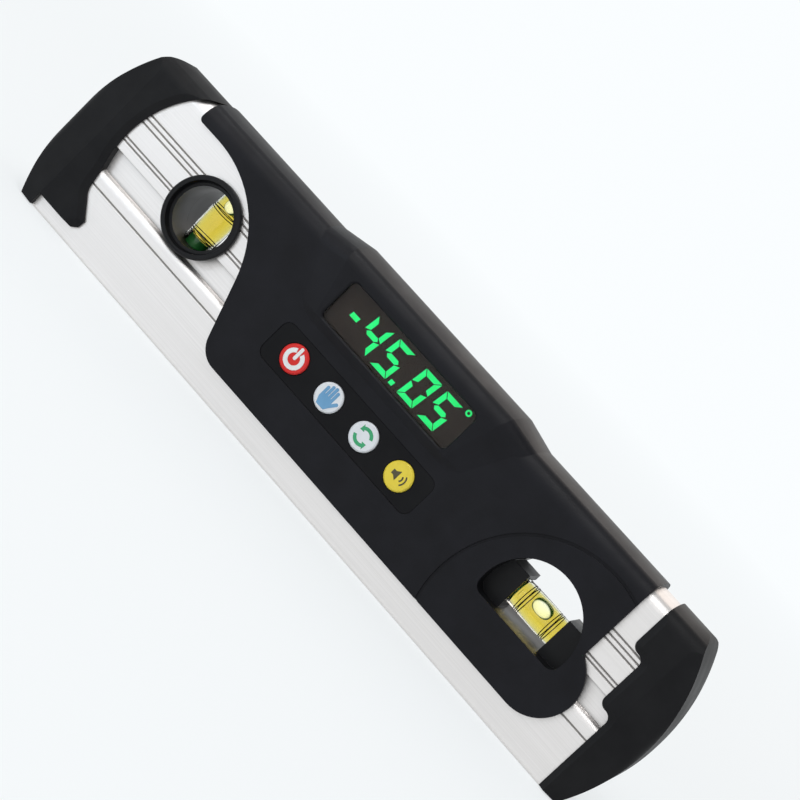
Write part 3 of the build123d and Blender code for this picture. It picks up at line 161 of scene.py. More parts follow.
def new_material(name, color, roughness, **sockets):
    """Node material with its Principled shader; sockets are set by name."""
    mat = bpy.data.materials.new(name)
    mat.use_nodes = True
    shader = mat.node_tree.nodes["Principled BSDF"]
    shader.inputs["Base Color"].default_value = (*color, 1)
    shader.inputs["Roughness"].default_value = roughness
    for socket, value in sockets.items():
        shader.inputs[socket.replace("_", " ")].default_value = value
    return mat, mat.node_tree, shader


def noise(tree, size, stretch=EVENLY, detail=3.0):
    """Noise with blotches of about this size, stretched along the object's axes."""
    place = tree.nodes.new("ShaderNodeTexCoord")
    mapping = tree.nodes.new("ShaderNodeMapping")
    mapping.inputs["Scale"].default_value = [1 / (size * s) for s in stretch]
    texture = tree.nodes.new("ShaderNodeTexNoise")
    texture.inputs["Scale"].default_value = 1
    texture.inputs["Detail"].default_value = detail
    link(tree, place.outputs["Object"], mapping.inputs["Vector"])
    link(tree, mapping.outputs["Vector"], texture.inputs["Vector"])
    return texture.outputs["Fac"]


def color_ramp(tree, stops):
    """Ramp of colours, each at its place between 0 and 1."""
    ramp = tree.nodes.new("ShaderNodeValToRGB")
    elements = ramp.color_ramp.elements
    while len(elements) < len(stops):
        elements.new(1.0)
    for element, (place, color) in zip(elements, stops):
        element.position = place
        element.color = (*color, 1)
    return ramp


def tint(tree, shader, fac, dark, light):
    """Colour that wanders between two tones."""
    ramp = color_ramp(tree, [(NOISE_LOW, dark), (NOISE_HIGH, light)])
    link(tree, fac, ramp.inputs["Fac"])
    link(tree, ramp.outputs["Color"], shader.inputs["Base Color"])
    return ramp.outputs["Color"]


def vary(tree, fac, socket, low, high):
    """A number that wanders between two values."""
    span = tree.nodes.new("ShaderNodeMapRange")
    span.inputs["From Min"].default_value = NOISE_LOW
    span.inputs["From Max"].default_value = NOISE_HIGH
    span.inputs["To Min"].default_value = low
    span.inputs["To Max"].default_value = high
    link(tree, fac, span.inputs["Value"])
    link(tree, span.outputs["Result"], socket)


def relief(tree, shader, height, depth):
    """Bump of this depth, over edges that are softened a little."""
    soft = tree.nodes.new("ShaderNodeBevel")
    soft.inputs["Radius"].default_value = EDGE_SOFTNESS
    bump = tree.nodes.new("ShaderNodeBump")
    bump.inputs["Distance"].default_value = depth
    link(tree, height, bump.inputs["Height"])
    link(tree, soft.outputs["Normal"], bump.inputs["Normal"])
    link(tree, bump.outputs["Normal"], shader.inputs["Normal"])


# Kinds of material

def moulded(name, dark, light, rough, grain, depth, **sockets):
    """Moulded plastic or rubber with a fine grain and slightly uneven gloss."""
    mat, tree, shader = new_material(name, light, rough[0], **sockets)
    tint(tree, shader, noise(tree, size=9 * MM), dark, light)
    vary(tree, noise(tree, size=14 * MM), shader.inputs["Roughness"], *rough)
    relief(tree, shader, noise(tree, size=grain), depth)
    return mat


def ink(name, dark, light):
    """Thin print on a key or a vial."""
    return moulded(name, dark, light, rough=(0.4, 0.5), grain=0.2 * MM, depth=0.002 * MM)


def brushed(name, dark, light, rough, line, depth, lay=EVENLY):
    """Metal with fine lines and painted shade: its tone darkens in its own grooves and hollows."""
    mat, tree, shader = new_material(name, light, rough[0], Metallic=1.0)
    streaks = noise(tree, size=line, stretch=lay, detail=5.0)
    tone = tint(tree, shader, streaks, dark, light)
    vary(tree, noise(tree, size=3 * line, stretch=lay), shader.inputs["Roughness"], *rough)
    relief(tree, shader, streaks, depth)
    # painted shade: ambient occlusion darkens the metal's tone in its own grooves and hollows
    painted_shade = tree.nodes.new("ShaderNodeAmbientOcclusion")
    painted_shade.samples = PAINTED_SHADE_SAMPLES
    painted_shade.only_local = True
    painted_shade.inputs["Distance"].default_value = PAINTED_SHADE_REACH
    link(tree, tone, painted_shade.inputs["Color"])
    link(tree, painted_shade.outputs["Color"], shader.inputs["Base Color"])
    return mat


def clear(name, color, rough, ior):
    """Clear plastic or liquid with a faint tone; light that falls through it goes straight."""
    mat, tree, shader = new_material(name, color, rough[0], Transmission_Weight=1.0, IOR=ior)
    pale = tuple(min(1.0, CLEAR_PALER * c) for c in color)
    tint(tree, shader, noise(tree, size=4 * MM), color, pale)
    vary(tree, noise(tree, size=6 * MM), shader.inputs["Roughness"], *rough)
    path = tree.nodes.new("ShaderNodeLightPath")
    either = tree.nodes.new("ShaderNodeMath")
    either.operation = "MAXIMUM"
    straight = tree.nodes.new("ShaderNodeBsdfTransparent")
    straight.inputs["Color"].default_value = (*color, 1)
    mix = tree.nodes.new("ShaderNodeMixShader")
    link(tree, path.outputs["Is Shadow Ray"], either.inputs[0])
    link(tree, path.outputs["Is Diffuse Ray"], either.inputs[1])
    link(tree, either.outputs["Value"], mix.inputs["Fac"])
    link(tree, shader.outputs["BSDF"], mix.inputs[1])
    link(tree, straight.outputs["BSDF"], mix.inputs[2])
    link(tree, mix.outputs["Shader"], tree.nodes["Material Output"].inputs["Surface"])
    return mat


def stained(mat, color, density):
    """Gives a clear material depth of colour: the thicker, the stronger."""
    tree = mat.node_tree
    stain = tree.nodes.new("ShaderNodeVolumeAbsorption")
    stain.inputs["Color"].default_value = (*color, 1)
    stain.inputs["Density"].default_value = density
    link(tree, stain.outputs["Volume"], tree.nodes["Material Output"].inputs["Volume"])
    return mat


def bubble_painted_light(name, inside, rim, strength):
    """Bubble with painted light: a painted pale glow inside and a painted dark rim towards its
    outline, as seen from the front or the back.
    """
    mat, tree, shader = new_material(name, inside, roughness=0.15)
    place = tree.nodes.new("ShaderNodeTexCoord")
    centred = tree.nodes.new("ShaderNodeVectorMath")
    centred.operation = "SUBTRACT"
    centred.inputs[1].default_value = (0.5, 0.5, 0.5)
    flat = tree.nodes.new("ShaderNodeVectorMath")
    flat.operation = "MULTIPLY"
    flat.inputs[1].default_value = (2, 0, 2)
    reach = tree.nodes.new("ShaderNodeVectorMath")
    reach.operation = "LENGTH"
    ramp = color_ramp(tree, list(zip(PAINTED_RIM_FADE, (inside, rim))))
    link(tree, place.outputs["Generated"], centred.inputs[0])
    link(tree, centred.outputs["Vector"], flat.inputs[0])
    link(tree, flat.outputs["Vector"], reach.inputs[0])
    link(tree, reach.outputs["Value"], ramp.inputs["Fac"])
    link(tree, ramp.outputs["Color"], shader.inputs["Base Color"])
    # painted glow: the bubble's colour, pale inside and dark at the rim, also shines as emission
    link(tree, ramp.outputs["Color"], shader.inputs["Emission Color"])
    shader.inputs["Emission Strength"].default_value = strength
    return mat


def sleeved(name, low, high):
    """Dry cell along X from its flat end to its button: steel, dark sleeve, copper band, steel."""
    mat, tree, shader = new_material(name, CELL_SLEEVE, roughness=0.3)
    place = tree.nodes.new("ShaderNodeTexCoord")
    apart = tree.nodes.new("ShaderNodeSeparateXYZ")
    along = tree.nodes.new("ShaderNodeMapRange")
    along.inputs["From Min"].default_value = low
    along.inputs["From Max"].default_value = high
    link(tree, place.outputs["Object"], apart.inputs["Vector"])
    link(tree, apart.outputs["X"], along.inputs["Value"])
    tones = [(start, tone) for start, tone, metal in CELL_BANDS]
    metals = [(start, (metal, metal, metal)) for start, tone, metal in CELL_BANDS]
    for socket, stops in (("Base Color", tones), ("Metallic", metals)):
        ramp = color_ramp(tree, stops)
        ramp.color_ramp.interpolation = "CONSTANT"
        link(tree, along.outputs["Result"], ramp.inputs["Fac"])
        link(tree, ramp.outputs["Color"], shader.inputs[socket])
    vary(tree, noise(tree, size=8 * MM), shader.inputs["Roughness"], low=0.22, high=0.34)
    relief(tree, shader, noise(tree, size=0.6 * MM), depth=0.003 * MM)
    return mat


def lit(name, dark, light, strength):
    """Lit mark: glows, a little unevenly."""
    mat, tree, shader = new_material(name, light, roughness=0.4)
    tone = tint(tree, shader, noise(tree, size=3 * MM), dark, light)
    link(tree, tone, shader.inputs["Emission Color"])
    shader.inputs["Emission Strength"].default_value = strength
    return mat


# Materials of the level

ALUMINIUM = brushed("anodised aluminium", (0.77, 0.742, 0.725), (0.845, 0.815, 0.80),
                    rough=(0.40, 0.50), line=0.22 * MM, depth=0.002 * MM, lay=LENGTHWISE)
STEEL = brushed("plain steel", (0.42, 0.43, 0.45), (0.62, 0.63, 0.65),
                rough=(0.25, 0.40), line=0.15 * MM, depth=0.004 * MM)
NICKEL = brushed("nickel plate", (0.60, 0.60, 0.61), (0.74, 0.74, 0.76),
                 rough=(0.12, 0.25), line=0.3 * MM, depth=0.002 * MM)
RUBBER = moulded("cap rubber", (0.004, 0.004, 0.005), (0.008, 0.008, 0.009),
                 rough=(0.46, 0.60), grain=0.5 * MM, depth=0.012 * MM, Specular_IOR_Level=0.17)
COVER = moulded("cover plastic", (0.004, 0.004, 0.006), (0.007, 0.007, 0.010),
                rough=(0.42, 0.52), grain=0.25 * MM, depth=0.018 * MM, Specular_IOR_Level=0.18)
PAD = moulded("keypad rubber", (0.003, 0.003, 0.004), (0.006, 0.006, 0.007),
              rough=(0.48, 0.58), grain=0.18 * MM, depth=0.005 * MM, Specular_IOR_Level=0.14)
SEAL = moulded("seal rubber", (0.010, 0.010, 0.010), (0.018, 0.018, 0.018),
               rough=(0.6, 0.75), grain=0.3 * MM, depth=0.008 * MM)
VIAL_BLACK = moulded("vial holder plastic", (0.004, 0.004, 0.005), (0.007, 0.007, 0.008),
                     rough=(0.34, 0.46), grain=0.4 * MM, depth=0.005 * MM, Specular_IOR_Level=0.20)
PANEL = moulded("display filter", (0.026, 0.018, 0.014), (0.033, 0.023, 0.018),
                rough=(0.5, 0.6), grain=2 * MM, depth=0.0005 * MM, Specular_IOR_Level=0.15)
LAMP = moulded("backlight", (0.72, 0.73, 0.72), (0.82, 0.83, 0.82),
               rough=(0.4, 0.5), grain=0.5 * MM, depth=0.004 * MM)
BOARD = moulded("board lacquer", (0.012, 0.10, 0.035), (0.020, 0.14, 0.05),
                rough=(0.25, 0.4), grain=0.8 * MM, depth=0.004 * MM)
CHIP = moulded("chip resin", (0.012, 0.012, 0.012), (0.022, 0.022, 0.022),
               rough=(0.45, 0.6), grain=0.2 * MM, depth=0.006 * MM)
TRAY = moulded("tray plastic", (0.012, 0.012, 0.013), (0.020, 0.020, 0.021),
               rough=(0.4, 0.55), grain=0.3 * MM, depth=0.008 * MM)
RED = moulded("red key", (0.66, 0.020, 0.018), (0.74, 0.030, 0.026),
              rough=(0.36, 0.48), grain=0.3 * MM, depth=0.004 * MM, Specular_IOR_Level=0.3)
WHITE = moulded("white key", (0.74, 0.76, 0.79), (0.82, 0.84, 0.87),
                rough=(0.32, 0.44), grain=0.3 * MM, depth=0.004 * MM)
YELLOW = moulded("yellow key", (0.78, 0.60, 0.040), (0.85, 0.68, 0.055),
                 rough=(0.32, 0.44), grain=0.3 * MM, depth=0.004 * MM)
PLUG = moulded("vial plug", (0.012, 0.12, 0.025), (0.025, 0.18, 0.04),
               rough=(0.2, 0.3), grain=0.4 * MM, depth=0.003 * MM)
WHITE_INK = ink("white ink", (0.80, 0.80, 0.80), (0.88, 0.88, 0.88))
BLUE_INK = ink("blue ink", (0.13, 0.33, 0.56), (0.18, 0.40, 0.64))
GREEN_INK = ink("green ink", (0.03, 0.34, 0.14), (0.05, 0.42, 0.18))
DARK_INK = ink("dark ink", (0.05, 0.045, 0.02), (0.08, 0.07, 0.03))
BLACK_INK = ink("black ink", (0.006, 0.008, 0.004), (0.012, 0.014, 0.008))
WINDOW = clear("smoked window", (0.80, 0.76, 0.73), rough=(0.0, 0.015), ior=1.25)
VIAL = clear("clear vial", (0.97, 0.99, 0.93), rough=(0.0, 0.02), ior=1.30)
LIQUID = stained(clear("vial liquid", (0.98, 0.98, 0.85), rough=(0.0, 0.02), ior=1.22),
                 (0.91, 0.81, 0.05), density=380.0)
# air bubble: painted pale glow inside, painted dark green rim at its outline
AIR_PAINTED_LIGHT = bubble_painted_light("air bubble with painted light", (0.93, 0.97, 0.99), (0.010, 0.045, 0.006), strength=0.85)
GREEN_LIGHT = lit("green segments", (0.0, 0.72, 0.15), (0.0, 0.86, 0.22), strength=1.0)

NODE_MATERIALS = {
    "beam": ALUMINIUM, "base_magnets": NICKEL, "left_end_cap": RUBBER, "right_end_cap": RUBBER,
    "front_cover": COVER, "rear_cover": COVER, "battery_door": COVER, "cover_screws": STEEL,
    "board_screws": STEEL, "battery_door_screws": STEEL, "battery_contacts": NICKEL,
    "display_window": WINDOW, "display_gasket": SEAL, "display_panel": PANEL,
    "display_backlight": LAMP, "circuit_board": BOARD, "key_switches": CHIP,
    "processor_chip": CHIP, "tilt_sensor": CHIP, "buzzer": CHIP, "keypad": PAD,
    "power_button": RED, "hold_button": WHITE, "unit_button": WHITE, "sound_button": YELLOW,
    "level_vial_holder": VIAL_BLACK, "plumb_ring_front": VIAL_BLACK, "plumb_ring_rear": VIAL_BLACK,
    "level_vial": VIAL, "plumb_vial": VIAL, "level_vial_plug": PLUG, "plumb_vial_plug": PLUG,
    "level_spirit": LIQUID, "plumb_spirit": LIQUID, "level_bubble": AIR_PAINTED_LIGHT, "plumb_bubble": AIR_PAINTED_LIGHT,
    "battery_tray": TRAY, "battery_door_gasket": SEAL,
}


def middle_of(points):
    """Middle of the box round some points."""
    low = Vector([min(p[i] for p in points) for i in range(3)])
    high = Vector([max(p[i] for p in points) for i in range(3)])
    return (low + high) / 2


def cell_ends(points):
    """Places along X of a cell's flat end and of its button."""
    near = min(p.x for p in points)
    far = max(p.x for p in points)
    centre = middle_of(points)
    far_reach = max((p - centre).yz.length for p in points if p.x > far - TOUCH)
    return (near, far) if far_reach < CELL_BUTTON else (far, near)


for name in ("upper_battery", "lower_battery"):
    corners = [v.co for v in nodes[name].data.vertices]
    NODE_MATERIALS[name] = sleeved(name + " sleeve", *cell_ends(corners))
for name, mat in NODE_MATERIALS.items():
    nodes[name].material_slots[0].material = mat


# Mesh helpers

def middle(node):
    """Middle of a node's box."""
    low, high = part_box(node)
    return (low + high) / 2


def place_piece(name, bm, mat, body, smooth=False):
    """Object made from a finished bmesh, on a body."""
    bmesh.ops.recalc_face_normals(bm, faces=bm.faces)
    mesh = bpy.data.meshes.new(name)
    bm.to_mesh(mesh)
    bm.free()
    if smooth:
        mesh.polygons.foreach_set("use_smooth", [True] * len(mesh.polygons))
    piece = bpy.data.objects.new(name, mesh)
    bpy.context.scene.collection.objects.link(piece)
    piece.data.materials.append(mat)
    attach(piece, body)
    return piece


def wall(bm, one, two):
    """Faces between two loops of as many points."""
    for i in range(len(one)):
        j = (i + 1) % len(one)
        bm.faces.new((one[i], one[j], two[j], two[i]))


def layer(bm, outline, depth, centre=(0.0, 0.0)):
    """Thin layer across Y: outline of X and Z points about a centre, front face at this depth."""
    front = [bm.verts.new((centre[0] + x, depth, centre[1] + z)) for x, z in outline]
    back = [bm.verts.new((v.co.x, depth + LAYER, v.co.z)) for v in front]
    bm.faces.new(front)
    bm.faces.new(back[::-1])
    wall(bm, front, back)


def polar(radius, angle, centre=(0.0, 0.0)):
    """Point at an angle in degrees from +X towards +Z."""
    turn = math.radians(angle)
    return (centre[0] + radius * math.cos(turn), centre[1] + radius * math.sin(turn))


def arc(radius, start, end, steps=ARC_STEPS, centre=(0.0, 0.0)):
    """Points on an arc from one angle to another."""
    return [polar(radius, start + (end - start) * i / steps, centre) for i in range(steps + 1)]


def bow(inner, outer, start, end):
    """Outline of a bent stroke between two radii."""
    return arc(outer, start, end) + arc(inner, end, start)


def lathe(profile, centre, axis):
    """Body turned about an axis through a centre: places along it and radii, ends closed."""
    along = Vector((1, 0, 0)) if axis == "X" else Vector((0, 0, 1))
    side = Vector((0, 1, 0))
    up = along.cross(side)
    turns = [2 * math.pi * i / ROUND_STEPS for i in range(ROUND_STEPS)]
    spokes = [side * math.cos(t) + up * math.sin(t) for t in turns]
    bm = bmesh.new()
    rings = []
    for place, radius in profile:
        rings.append([bm.verts.new(centre + along * place + radius * spoke) for spoke in spokes])
    for one, two in zip(rings, rings[1:]):
        wall(bm, one, two)
    bm.faces.new(rings[0])
    bm.faces.new(rings[-1][::-1])
    return bm


# Display: seven-segment digits on the panel, behind the window

def segment_outlines(width, height, stroke, gap):
    """The seven strokes of a digit, with mitred ends, from its lower left corner."""
    half = height / 2
    inner = stroke + gap
    thin = stroke / 2

    def turn_x(points):
        return [(width - x, z) for x, z in points]

    def turn_z(points):
        return [(x, height - z) for x, z in points]

    top = [(gap, height), (width - gap, height),
           (width - inner, height - stroke), (inner, height - stroke)]
    left = [(0, height - gap), (stroke, height - inner),
            (stroke, half + inner - thin), (0, half + gap)]
    across = [(thin + gap, half), (inner, half + thin), (width - inner, half + thin),
              (width - thin - gap, half), (width - inner, half - thin), (inner, half - thin)]
    return {
        "top": top, "bottom": turn_z(top), "middle": across,
        "upper_left": left, "upper_right": turn_x(left),
        "lower_left": turn_z(left), "lower_right": turn_x(turn_z(left)),
    }


LIT_STROKES = {
    "0": ("top", "bottom", "upper_left", "upper_right", "lower_left", "lower_right"),
    "4": ("upper_left", "upper_right", "middle", "lower_right"),
    "5": ("top", "upper_left", "middle", "lower_right", "bottom"),
}
panel_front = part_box("display_panel")[0].y - LAYER
window_z = middle("display_window").z
digit_z = window_z - DIGIT_SINK


def slanted(points):
    """Points about the middle of a digit, leaning to the right."""
    return [(x + z * DIGIT_SLANT, z) for x, z in points]


def bar(left, right, low, high):
    """Outline of a straight stroke."""
    return [(left, low), (right, low), (right, high), (left, high)]


digits = bmesh.new()
for sign, left, right in DIGITS:
    strokes = segment_outlines((right - left) * MM, DIGIT_HEIGHT, DIGIT_STROKE, DIGIT_GAP)
    for stroke in LIT_STROKES[sign]:
        points = [(x, z - DIGIT_HEIGHT / 2) for x, z in strokes[stroke]]
        layer(digits, slanted(points), panel_front, (left * MM, digit_z))
minus = bar(MINUS[0] * MM, MINUS[1] * MM, -DIGIT_STROKE / 2, DIGIT_STROKE / 2)
layer(digits, slanted(minus), panel_front, (0, digit_z))
point = bar(POINT[0] * MM, POINT[1] * MM, -DIGIT_HEIGHT / 2, POINT_HEIGHT - DIGIT_HEIGHT / 2)
layer(digits, slanted(point), panel_front, (0, digit_z))
degree_place = (DEGREE[0] * MM, window_z + DEGREE[1] * MM)
layer(digits, bow(*DEGREE_RING, 0, RING_TURN), panel_front, degree_place)
place_piece("display_digits", digits, GREEN_LIGHT, "level")


# Symbols printed on the keys

def key_face(node):
    """Centre of a key and the depth of a layer on its face."""
    centre = middle(node)
    return (centre.x, centre.z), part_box(node)[0].y - LAYER


def power_symbol():
    """Open ring with a bar in its gap."""
    centre, depth = key_face("power_button")
    ring = bow(1.9 * MM, 3.3 * MM, 112, 428)
    half = 0.55 * MM
    upper_end = arc(half, 0, 180, END_STEPS, (0, 3.6 * MM))
    lower_end = arc(half, 180, 360, END_STEPS, (0, 0.3 * MM))
    bm = bmesh.new()
    layer(bm, ring, depth, centre)
    layer(bm, upper_end + lower_end, depth, centre)
    place_piece("power_symbol", bm, WHITE_INK, "power_key")


def hand_symbol():
    """Open hand: four fingers up, thumb to the right."""
    finger = 0.49 * MM          # half widths
    thumb = 0.53 * MM
    pitch = 1.15 * MM
    palm_top = 0.23 * MM
    heel = -3.5 * MM
    lengths = (2.35 * MM, 3.4 * MM, 3.75 * MM, 3.05 * MM)
    first = -2.05 * MM
    outline = [(first + 0.41 * MM, heel), (first - finger, -1.4 * MM)]
    for i, length in enumerate(lengths):
        x = first + i * pitch
        outline += [(x - finger, palm_top)]
        outline += arc(finger, 180, 0, END_STEPS, (x, palm_top + length - finger))
        outline += [(x + finger, palm_top)]
    edge = first + 3 * pitch + finger
    outline += [(edge, -0.7 * MM)]
    outline += arc(thumb, 150, -30, END_STEPS, (edge + 1.35 * MM, 0.3 * MM))
    outline += [(edge + 0.18 * MM, -2.2 * MM), (edge - 0.58 * MM, heel)]
    centre, depth = key_face("hold_button")
    bm = bmesh.new()
    layer(bm, outline, depth, centre)
    place_piece("hand_symbol", bm, BLUE_INK, "hold_key")


def swap_symbol():
    """Two bent arrows that chase each other: change of unit."""
    centre, depth = key_face("unit_button")
    inner, outer, point = 1.95 * MM, 3.0 * MM, 2.5 * MM
    barb = 0.6 * MM
    sweep, head_sweep = 105, 32
    bm = bmesh.new()
    for start in (20, 200):
        end = start + sweep
        head = [polar(outer + barb, end), polar(point, end + head_sweep), polar(inner - barb, end)]
        layer(bm, arc(outer, start, end) + head + arc(inner, end, start), depth, centre)
    place_piece("swap_symbol", bm, GREEN_INK, "unit_key")


def sound_symbol():
    """Loudspeaker with two waves."""
    centre, depth = key_face("sound_button")
    back, throat, mouth = -2.3 * MM, -1.4 * MM, -0.1 * MM
    box, horn = 0.75 * MM, 1.7 * MM
    speaker = [(back, -box), (throat, -box), (mouth, -horn), (mouth, horn), (throat, box), (back, box)]
    source = (centre[0] + 0.1 * MM, centre[1])
    wave, spread = 0.45 * MM, 42
    bm = bmesh.new()
    layer(bm, speaker, depth, centre)
    for radius in (1.1 * MM, 2.2 * MM):
        layer(bm, bow(radius, radius + wave, -spread, spread), depth, source)
    place_piece("sound_symbol", bm, DARK_INK, "sound_key")


power_symbol()
hand_symbol()
swap_symbol()
sound_symbol()


# Vials: liquid that fills the bore, a soft bubble in it, and the painted lines

def add_band(bm, centre, axis, section):
    """Closed ring of the given section round the vial's axis."""
    loops = []
    for i in range(ROUND_STEPS):
        turn = 2 * math.pi * i / ROUND_STEPS
        across, deep = math.cos(turn), math.sin(turn)
        if axis == "X":
            spots = [(along, r * deep, r * across) for along, r in section]
        else:
            spots = [(r * across, r * deep, along) for along, r in section]
        loops.append([bm.verts.new(centre + Vector(spot)) for spot in spots])
    for i, loop in enumerate(loops):
        after = loops[(i + 1) % ROUND_STEPS]
        for k in range(len(section)):
            bm.faces.new((loop[k - 1], loop[k], after[k], after[k - 1]))


def vial_parts(kind, axis, lines):
    """Liquid in the barrel-shaped bore of a vial, and painted rings on the vial."""
    vial_low, vial_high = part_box(kind + "_vial")
    low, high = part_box(kind + "_spirit")
    centre = middle(kind + "_vial")
    along = "XYZ".index(axis)
    first, last = low[along] - centre[along], high[along] - centre[along]
    bore = centre.y - low.y + LIQUID_GRIP
    half = (last - first) / 2
    mid = (first + last) / 2

    stations = [mid + half * (i / LIQUID_STEPS - 1) for i in range(2 * LIQUID_STEPS + 1)]
    profile = [(s, bore - BORE_BARREL * ((s - mid) / half) ** 2) for s in stations]
    bm = lathe(profile, centre, axis)
    liquid = place_piece(kind + "_liquid", bm, LIQUID, "level", True)
    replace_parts(liquid, kind + "_spirit")

    reach = (vial_high[along] - vial_low[along]) / 2
    outer = (vial_high.y - vial_low.y) / 2
    bands = bmesh.new()
    for line in lines:
        skin = outer - BORE_BARREL * (line / reach) ** 2
        paint = skin + LAYER
        start, end = line - LINE_WIDTH / 2, line + LINE_WIDTH / 2
        add_band(bands, centre, axis, [(start, skin), (start, paint), (end, paint), (end, skin)])
    place_piece(kind + "_lines", bands, BLACK_INK, "level", True)


def unit_ball():
    """Ball of radius 1: rings round Z and a point at each pole, in the same order in every run."""
    turns = [2 * math.pi * i / BUBBLE_STEPS for i in range(BUBBLE_STEPS)]
    bm = bmesh.new()
    rings = []
    for k in range(1, BUBBLE_RINGS):
        tilt = math.pi * k / BUBBLE_RINGS
        radius, height = math.sin(tilt), math.cos(tilt)
        spots = [(radius * math.cos(t), radius * math.sin(t), height) for t in turns]
        rings.append([bm.verts.new(spot) for spot in spots])
    for one, two in zip(rings, rings[1:]):
        wall(bm, one, two)
    for height, ring in ((1, rings[0]), (-1, rings[-1])):
        pole = bm.verts.new((0, 0, height))
        for i in range(BUBBLE_STEPS):
            bm.faces.new((pole, ring[i - 1], ring[i]))
    return bm


def soft_bubble(kind):
    """Rounded bubble that nearly fills its node's box, a little squarer than an ellipsoid."""
    low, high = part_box(kind + "_bubble")
    half = (high - low) / 2
    centre = middle(kind + "_bubble")
    bm = unit_ball()
    for v in bm.verts:
        unit = Vector([math.copysign(abs(c) ** BUBBLE_POWER, c) for c in v.co])
        spot = unit.normalized().lerp(unit, BUBBLE_BLEND)
        v.co = centre + Vector([s * h * BUBBLE_FILL for s, h in zip(spot, half)])
    bubble = place_piece(kind + "_air", bm, AIR_PAINTED_LIGHT, kind + "_bubble", True)
    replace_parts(bubble, kind + "_bubble")


vial_parts("level", "X", LEVEL_LINES)
vial_parts("plumb", "Z", PLUMB_LINES)
soft_bubble("level")
soft_bubble("plumb")


# Screws with a cross recess, in the places and sizes of their nodes

def screw_places(node):
    """Points of each screw of a node, by their places across the level."""
    groups = []
    for point in [v.co.copy() for v in nodes[node].data.vertices]:
        for group in groups:
            if (group[0] - point).xz.length < SCREW_APART:
                group.append(point)
                break
        else:
            groups.append([point])
    return groups


def screw_profile(face, seat, tip, head, shank):
    """Places along Y and radii from the face of the head to the tip of the thread."""
    profile = [(face - down, share * head) for down, share in HEAD_ROUNDING]
    profile += [(seat, head), (seat, shank)]
    root = THREAD_ROOT * shank
    for i in range(int((seat - tip - 2 * shank) / THREAD_PITCH)):
        start = seat - THREAD_START * shank - i * THREAD_PITCH
        profile += [(start, shank)]
        profile += [(start - flank * THREAD_PITCH, root) for flank in THREAD_FLANKS]
    return profile + [(tip + shank, shank), (tip, TIP_WIDTH * shank)]


def cross_outline(arm, half):
    """Outline of an upright cross about its middle."""
    corner = [(half, arm), (half, half), (arm, half)]
    outline = []
    for _ in range(4):
        outline += corner
        corner = [(z, -x) for x, z in corner]
    return outline


def add_screw(bm, points, turn):
    """Pan head with a cross recess towards the back, threaded shank towards the front."""
    centre = middle_of(points)
    reach = [(p - centre).xz.length for p in points]
    face, tip = max(p.y for p in points), min(p.y for p in points)
    head = max(reach)
    seat = min(p.y for p, r in zip(points, reach) if r > HEAD_EDGE * head)
    shank = max(r for p, r in zip(points, reach) if p.y < tip + TOUCH)
    turns = [2 * math.pi * i / SCREW_STEPS for i in range(SCREW_STEPS)]
    spokes = [(math.cos(t), math.sin(t)) for t in turns]

    rings = []
    for y, radius in screw_profile(face, seat, tip, head, shank):
        spots = [(centre.x + radius * c, y, centre.z + radius * s) for c, s in spokes]
        rings.append([bm.verts.new(spot) for spot in spots])
    for one, two in zip(rings, rings[1:]):
        wall(bm, one, two)
    bm.faces.new(rings[-1])

    cross = cross_outline(CROSS_ARM * head, CROSS_HALF * head)

    def cross_loop(y, scale):
        c, s = scale * math.cos(turn), scale * math.sin(turn)
        spots = [(centre.x + c * x - s * z, y, centre.z + s * x + c * z) for x, z in cross]
        return [bm.verts.new(spot) for spot in spots]

    mouth = cross_loop(face, 1.0)
    floor = cross_loop(face - CROSS_DEPTH * (face - seat), CROSS_FLOOR)
    wall(bm, mouth, floor)
    bm.faces.new(floor)
    rim = []
    for loop in (mouth, rings[0]):
        rim += [bm.edges.get(pair) for pair in zip(loop, loop[1:] + loop[:1])]
    bmesh.ops.triangle_fill(bm, use_beauty=True, use_dissolve=False, edges=rim, normal=(0, 1, 0))


def cross_screws(node, body):
    """Threaded screws in place of a node's plain ones, each turned differently."""
    bm = bmesh.new()
    for i, points in enumerate(screw_places(node)):
        add_screw(bm, points, FIRST_TURN + NEXT_TURN * i)
    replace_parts(place_piece("cross_" + node, bm, STEEL, body), node)


cross_screws("cover_screws", "level")
cross_screws("board_screws", "level")
cross_screws("battery_door_screws", "door")


# Stage: pale floor, soft light and the camera

def shown_to_eye(tree):
    """One for rays from the camera or by way of gloss or glass."""
    path = tree.nodes.new("ShaderNodeLightPath")
    first = tree.nodes.new("ShaderNodeMath")
    second = tree.nodes.new("ShaderNodeMath")
    for node in (first, second):
        node.operation = "MAXIMUM"
    link(tree, path.outputs["Is Camera Ray"], first.inputs[0])
    link(tree, path.outputs["Is Glossy Ray"], first.inputs[1])
    link(tree, first.outputs["Value"], second.inputs[0])
    link(tree, path.outputs["Is Transmission Ray"], second.inputs[1])
    return second.outputs["Value"]


